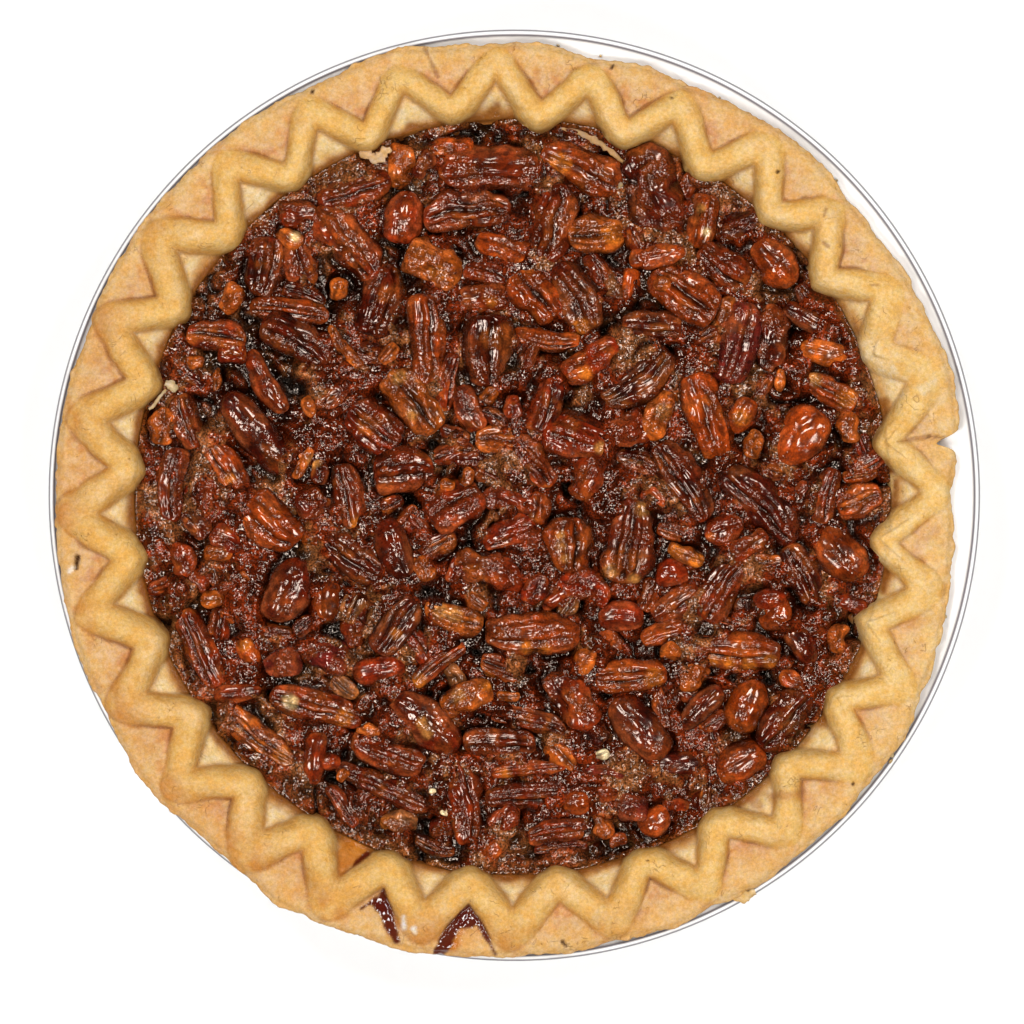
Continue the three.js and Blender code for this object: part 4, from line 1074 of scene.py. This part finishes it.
def nut_colour(random, n, width, kind, tone, flecks):
    """Painted light and shade: lighter on the raised lumps, darker between them, in the grooves (which also
    hold dark syrup), down the sides and along the lower edge; a painted orange glow on the flanks; amber in
    worn patches, most on the ridges.
    """
    amber_share = KINDS[kind][2]
    base = paint(*TONES[tone]) * random.uniform(0.8, 1.2)
    # Painted light and shade: lighter on the raised lumps, darker between them.
    ridge = np.clip(0.5 + 0.6 * n.coarse + 0.4 * n.medium, 0, 1)
    worn = smooth(0.1, 0.9, fractal(n.cloud, max(width * 0.4, 2), 3, 71) + 0.3 * ridge)
    colour = base * (mix(0.4, 1.35, ridge) * mix(1.0, 0.8, smooth(0.7, 1, n.up)))[..., None]
    colour = covered(colour, amber_share * worn, (200, 106, 40))
    colour = colour * (1 + 0.18 * n.wrinkle)[..., None]
    # Painted shade down the sides towards the syrup.
    colour = colour * mix(0.26, 1.16, smooth(0.22, 0.9, n.up))[..., None]
    # Dark grooves: the syrup caught in them, and painted shade.
    colour = covered(colour, np.minimum(n.groove * 3.2 - 0.12, 0.93), (34, 7, 1))
    # Painted light: an orange glow on the flanks, as where light shines through the thin edge.
    flank = hump(n.up, 0.66, 0.22) * smooth(-0.2, 0.4, noise(n.side, 6, 68))
    lit = mix(base * 1.9, paint(208, 116, 62), 0.45)
    colour = mix(colour, lit, (0.55 * flank * (1 - np.clip(n.groove * 4, 0, 1)))[..., None])
    # Painted shade along the nut's lower edge, where it meets the syrup.
    rim = (0.2 if tone == "c" else 0.65) * smooth(0.45, 0.05, n.up)
    colour = covered(colour, rim, (36, 8, 1))
    for away, size, fleck in flecks:
        share = 0.8 * smooth(size + 0.8, size - 0.9, away + 0.4 * n.medium) * (n.up > 0.1)
        kernel = paint(*FLECK_TONES[fleck]) * mix(0.7, 1.1, ridge)[..., None]
        colour = mix(colour, kernel, share[..., None])
    return colour


def with_ends(grid):
    """A grid's values as a list, with the means of its first and last rows put after it."""
    return np.concatenate([grid.reshape(-1, 3), [grid[0].mean(0), grid[-1].mean(0)]])


def nut_form(random, x, y, heading, length, width, kind, tone, fine, lift):
    """Points, faces, colour and details of one nut: a grid of rows along it and columns round it."""
    n = nut_shape(random, length, width, kind, fine)
    spin = np.radians(heading)
    level = syrup_level(np.hypot(x - WELL_CENTRE[0], y - WELL_CENTRE[1])) + smooth(10, 4, length)
    px = x + n.local[..., 0] * np.cos(spin) - n.local[..., 1] * np.sin(spin)
    py = y + n.local[..., 0] * np.sin(spin) + n.local[..., 1] * np.cos(spin)
    points = np.stack([px, py, level + lift + n.local[..., 2]], -1)
    flecks = [
        (np.hypot(px - fleck_x, py - fleck_y), size, fleck)
        for fleck_x, fleck_y, size, fleck in FLECKS
        if np.hypot(fleck_x - x, fleck_y - y) < length / 2 + size
    ]
    colour = nut_colour(random, n, width, kind, tone, flecks)
    rows, columns = px.shape
    crisp = 0.1 if tone == "c" else KINDS[kind][3]
    values = {
        "gloss": np.full(px.size + 2, random.uniform(0.5, 0.95)),
        "crisp": np.full(px.size + 2, crisp),
        "grain": with_ends(n.cloud * [GRAIN_SHARE, 1, 1] * MM),
    }
    return with_ends(points), grid_faces(rows, columns), caps(rows, columns), with_ends(colour), values


def build_heap(name, forms, material):
    """Joins what nut_form or flake_form gives into one piece."""
    clouds, faces, closings, tones, details = zip(*forms)
    starts = np.cumsum([0] + [len(c) for c in clouds[:-1]])
    quads = np.concatenate([f + start for f, start in zip(faces, starts)])
    triangles = [tuple(int(v + start) for v in t) for c, start in zip(closings, starts) for t in c]
    values = {key: np.concatenate([detail[key] for detail in details]) for key in details[0]}
    points, colour = np.concatenate(clouds), np.concatenate(tones)
    piece = make_piece(name, points, quads, triangles, material, colour, values)


def gap_pieces(random):
    """Places and sizes of the small bits that fill the gaps between the nuts, largest first."""
    taken = np.zeros((0, 3))
    for size, tries, share in BITS:
        radius, angle = BIT_REACH * np.sqrt(random.random(tries)), random.random(tries) * 360
        spots = polar_points(angle, radius, WELL_CENTRE)
        spots = spots[nut_footprint(spots) > share * size]
        for spot in spots:
            near = np.hypot(*(taken[:, :2] - spot).T) < 0.36 * (taken[:, 2] + size)
            if not near.any():
                taken = np.vstack([taken, [*spot, size]])
    return taken


def build_nuts():
    random = np.random.default_rng(23)
    material = nut_material()
    forms = {kind: [] for kind in KINDS}
    for *place, (kind, tone) in NUTS:
        lift = random.uniform(-0.3, 0.7)
        fine = 2 if place[3] > 9 else 1
        forms[kind].append(nut_form(random, *place, kind, tone, fine, lift))
    for name, kinds in HEAPS.items():
        build_heap(name, [form for kind in kinds for form in forms[kind]], material)
    bits = []
    for x, y, size in gap_pieces(random):
        tone = random.choice(list(BIT_TONES), p=list(BIT_TONES.values()))
        kind = random.choice(list(BIT_KINDS), p=list(BIT_KINDS.values()))
        heading, length = random.uniform(0, 180), size * random.uniform(1.25, 1.9)
        lift = random.uniform(-1.5, -0.4)
        bits.append(nut_form(random, x, y, heading, length, size, kind, tone, 1, lift))
    build_heap("pecan_bits", bits, material)


# ---- Stage ----

LAMP_COLOUR = (1.0, 0.985, 0.965)
DOME_LIGHT = (0.45, 0.447, 0.44)
# What glossy surfaces reflect of the dome: height from the horizon up, and glow.
DOME_GLOW = [(0.0, 0.02), (0.14, 0.02), (0.3, 0.03), (0.5, 0.01), (1.0, 0.003)]


def build_floor():
    s = Shader("pale_floor")
    shade = s.ramp(s.noise(60, 2, 0.5), 0.2, 0.8, 0.985, 1.0)
    s.set(Base_Color=s.scaled((0.93, 0.93, 0.93), shade), Roughness=0.75)
    size, drop = 3.0, 0.0002
    corners = [(-size, -size, 0), (size, -size, 0), (size, size, 0), (-size, size, 0)]
    mesh = bpy.data.meshes.new("floor")
    mesh.from_pydata(corners, [], [(0, 1, 2, 3)])
    mesh.materials.append(s.material)
    floor = bpy.data.objects.new("floor", mesh)
    floor.location.z = -drop
    bpy.context.scene.collection.objects.link(floor)


def build_dome():
    """Even light all round, and a darker dome for glossy surfaces to reflect, as between soft boxes."""
    world = bpy.data.worlds.new("studio")
    bpy.context.scene.world = world
    world.use_nodes = True
    nodes, links = world.node_tree.nodes, world.node_tree.links
    split = nodes.new("ShaderNodeSeparateXYZ")
    links.new(nodes.new("ShaderNodeTexCoord").outputs["Generated"], split.inputs[0])
    ramp = nodes.new("ShaderNodeValToRGB")
    ramp.color_ramp.interpolation = "EASE"
    while len(ramp.color_ramp.elements) < len(DOME_GLOW):
        ramp.color_ramp.elements.new(0.5)
    for element, (height, glow) in zip(ramp.color_ramp.elements, DOME_GLOW):
        element.position = height
        element.color = (*(glow * share for share in LAMP_COLOUR), 1)
    links.new(split.outputs["Z"], ramp.inputs["Fac"])
    even = nodes.new("ShaderNodeMix")
    even.data_type = "RGBA"
    even.inputs[6].default_value = (*DOME_LIGHT, 1)
    links.new(nodes.new("ShaderNodeLightPath").outputs["Is Glossy Ray"], even.inputs[0])
    links.new(ramp.outputs["Color"], even.inputs[7])
    links.new(even.outputs[2], nodes["Background"].inputs["Color"])


def build_soft_boxes():
    """A ring of soft boxes that all point at the pie. Distances are in metres, power in watts."""
    count, height, reach, side, power, first_turn = 4, 1.5, 0.8, 0.37, 8.55, 35
    for index in range(count):
        turn = np.radians(first_turn + index * 360 / count)
        place = Vector((reach * np.cos(turn), reach * np.sin(turn), height))
        data = bpy.data.lights.new(f"soft_box_{index}", "AREA")
        data.size = side
        data.energy = power
        data.color = LAMP_COLOUR
        lamp = bpy.data.objects.new(f"soft_box_{index}", data)
        lamp.location = place
        lamp.rotation_euler = (-place).to_track_quat("-Z", "Y").to_euler()
        bpy.context.scene.collection.objects.link(lamp)


def build_camera():
    """Straight above, with the frame a little larger than the tin. Distances are in metres."""
    frame_width, distance, aim = 0.26864, 2.5, (-0.0006, -0.00438)
    data = bpy.data.cameras.new("camera")
    data.sensor_width = 36
    data.lens = data.sensor_width * distance / frame_width
    data.clip_start, data.clip_end = 0.05, 20
    camera = bpy.data.objects.new("camera", data)
    camera.location = (*aim, distance + TIN_LEDGE_Z * MM)
    bpy.context.scene.collection.objects.link(camera)
    bpy.context.scene.camera = camera


build_tin()
build_crust()
build_syrup()
build_nuts()
build_flakes()
build_floor()
build_dome()
build_soft_boxes()
build_camera()
bpy.context.scene.view_settings.view_transform = "Standard"
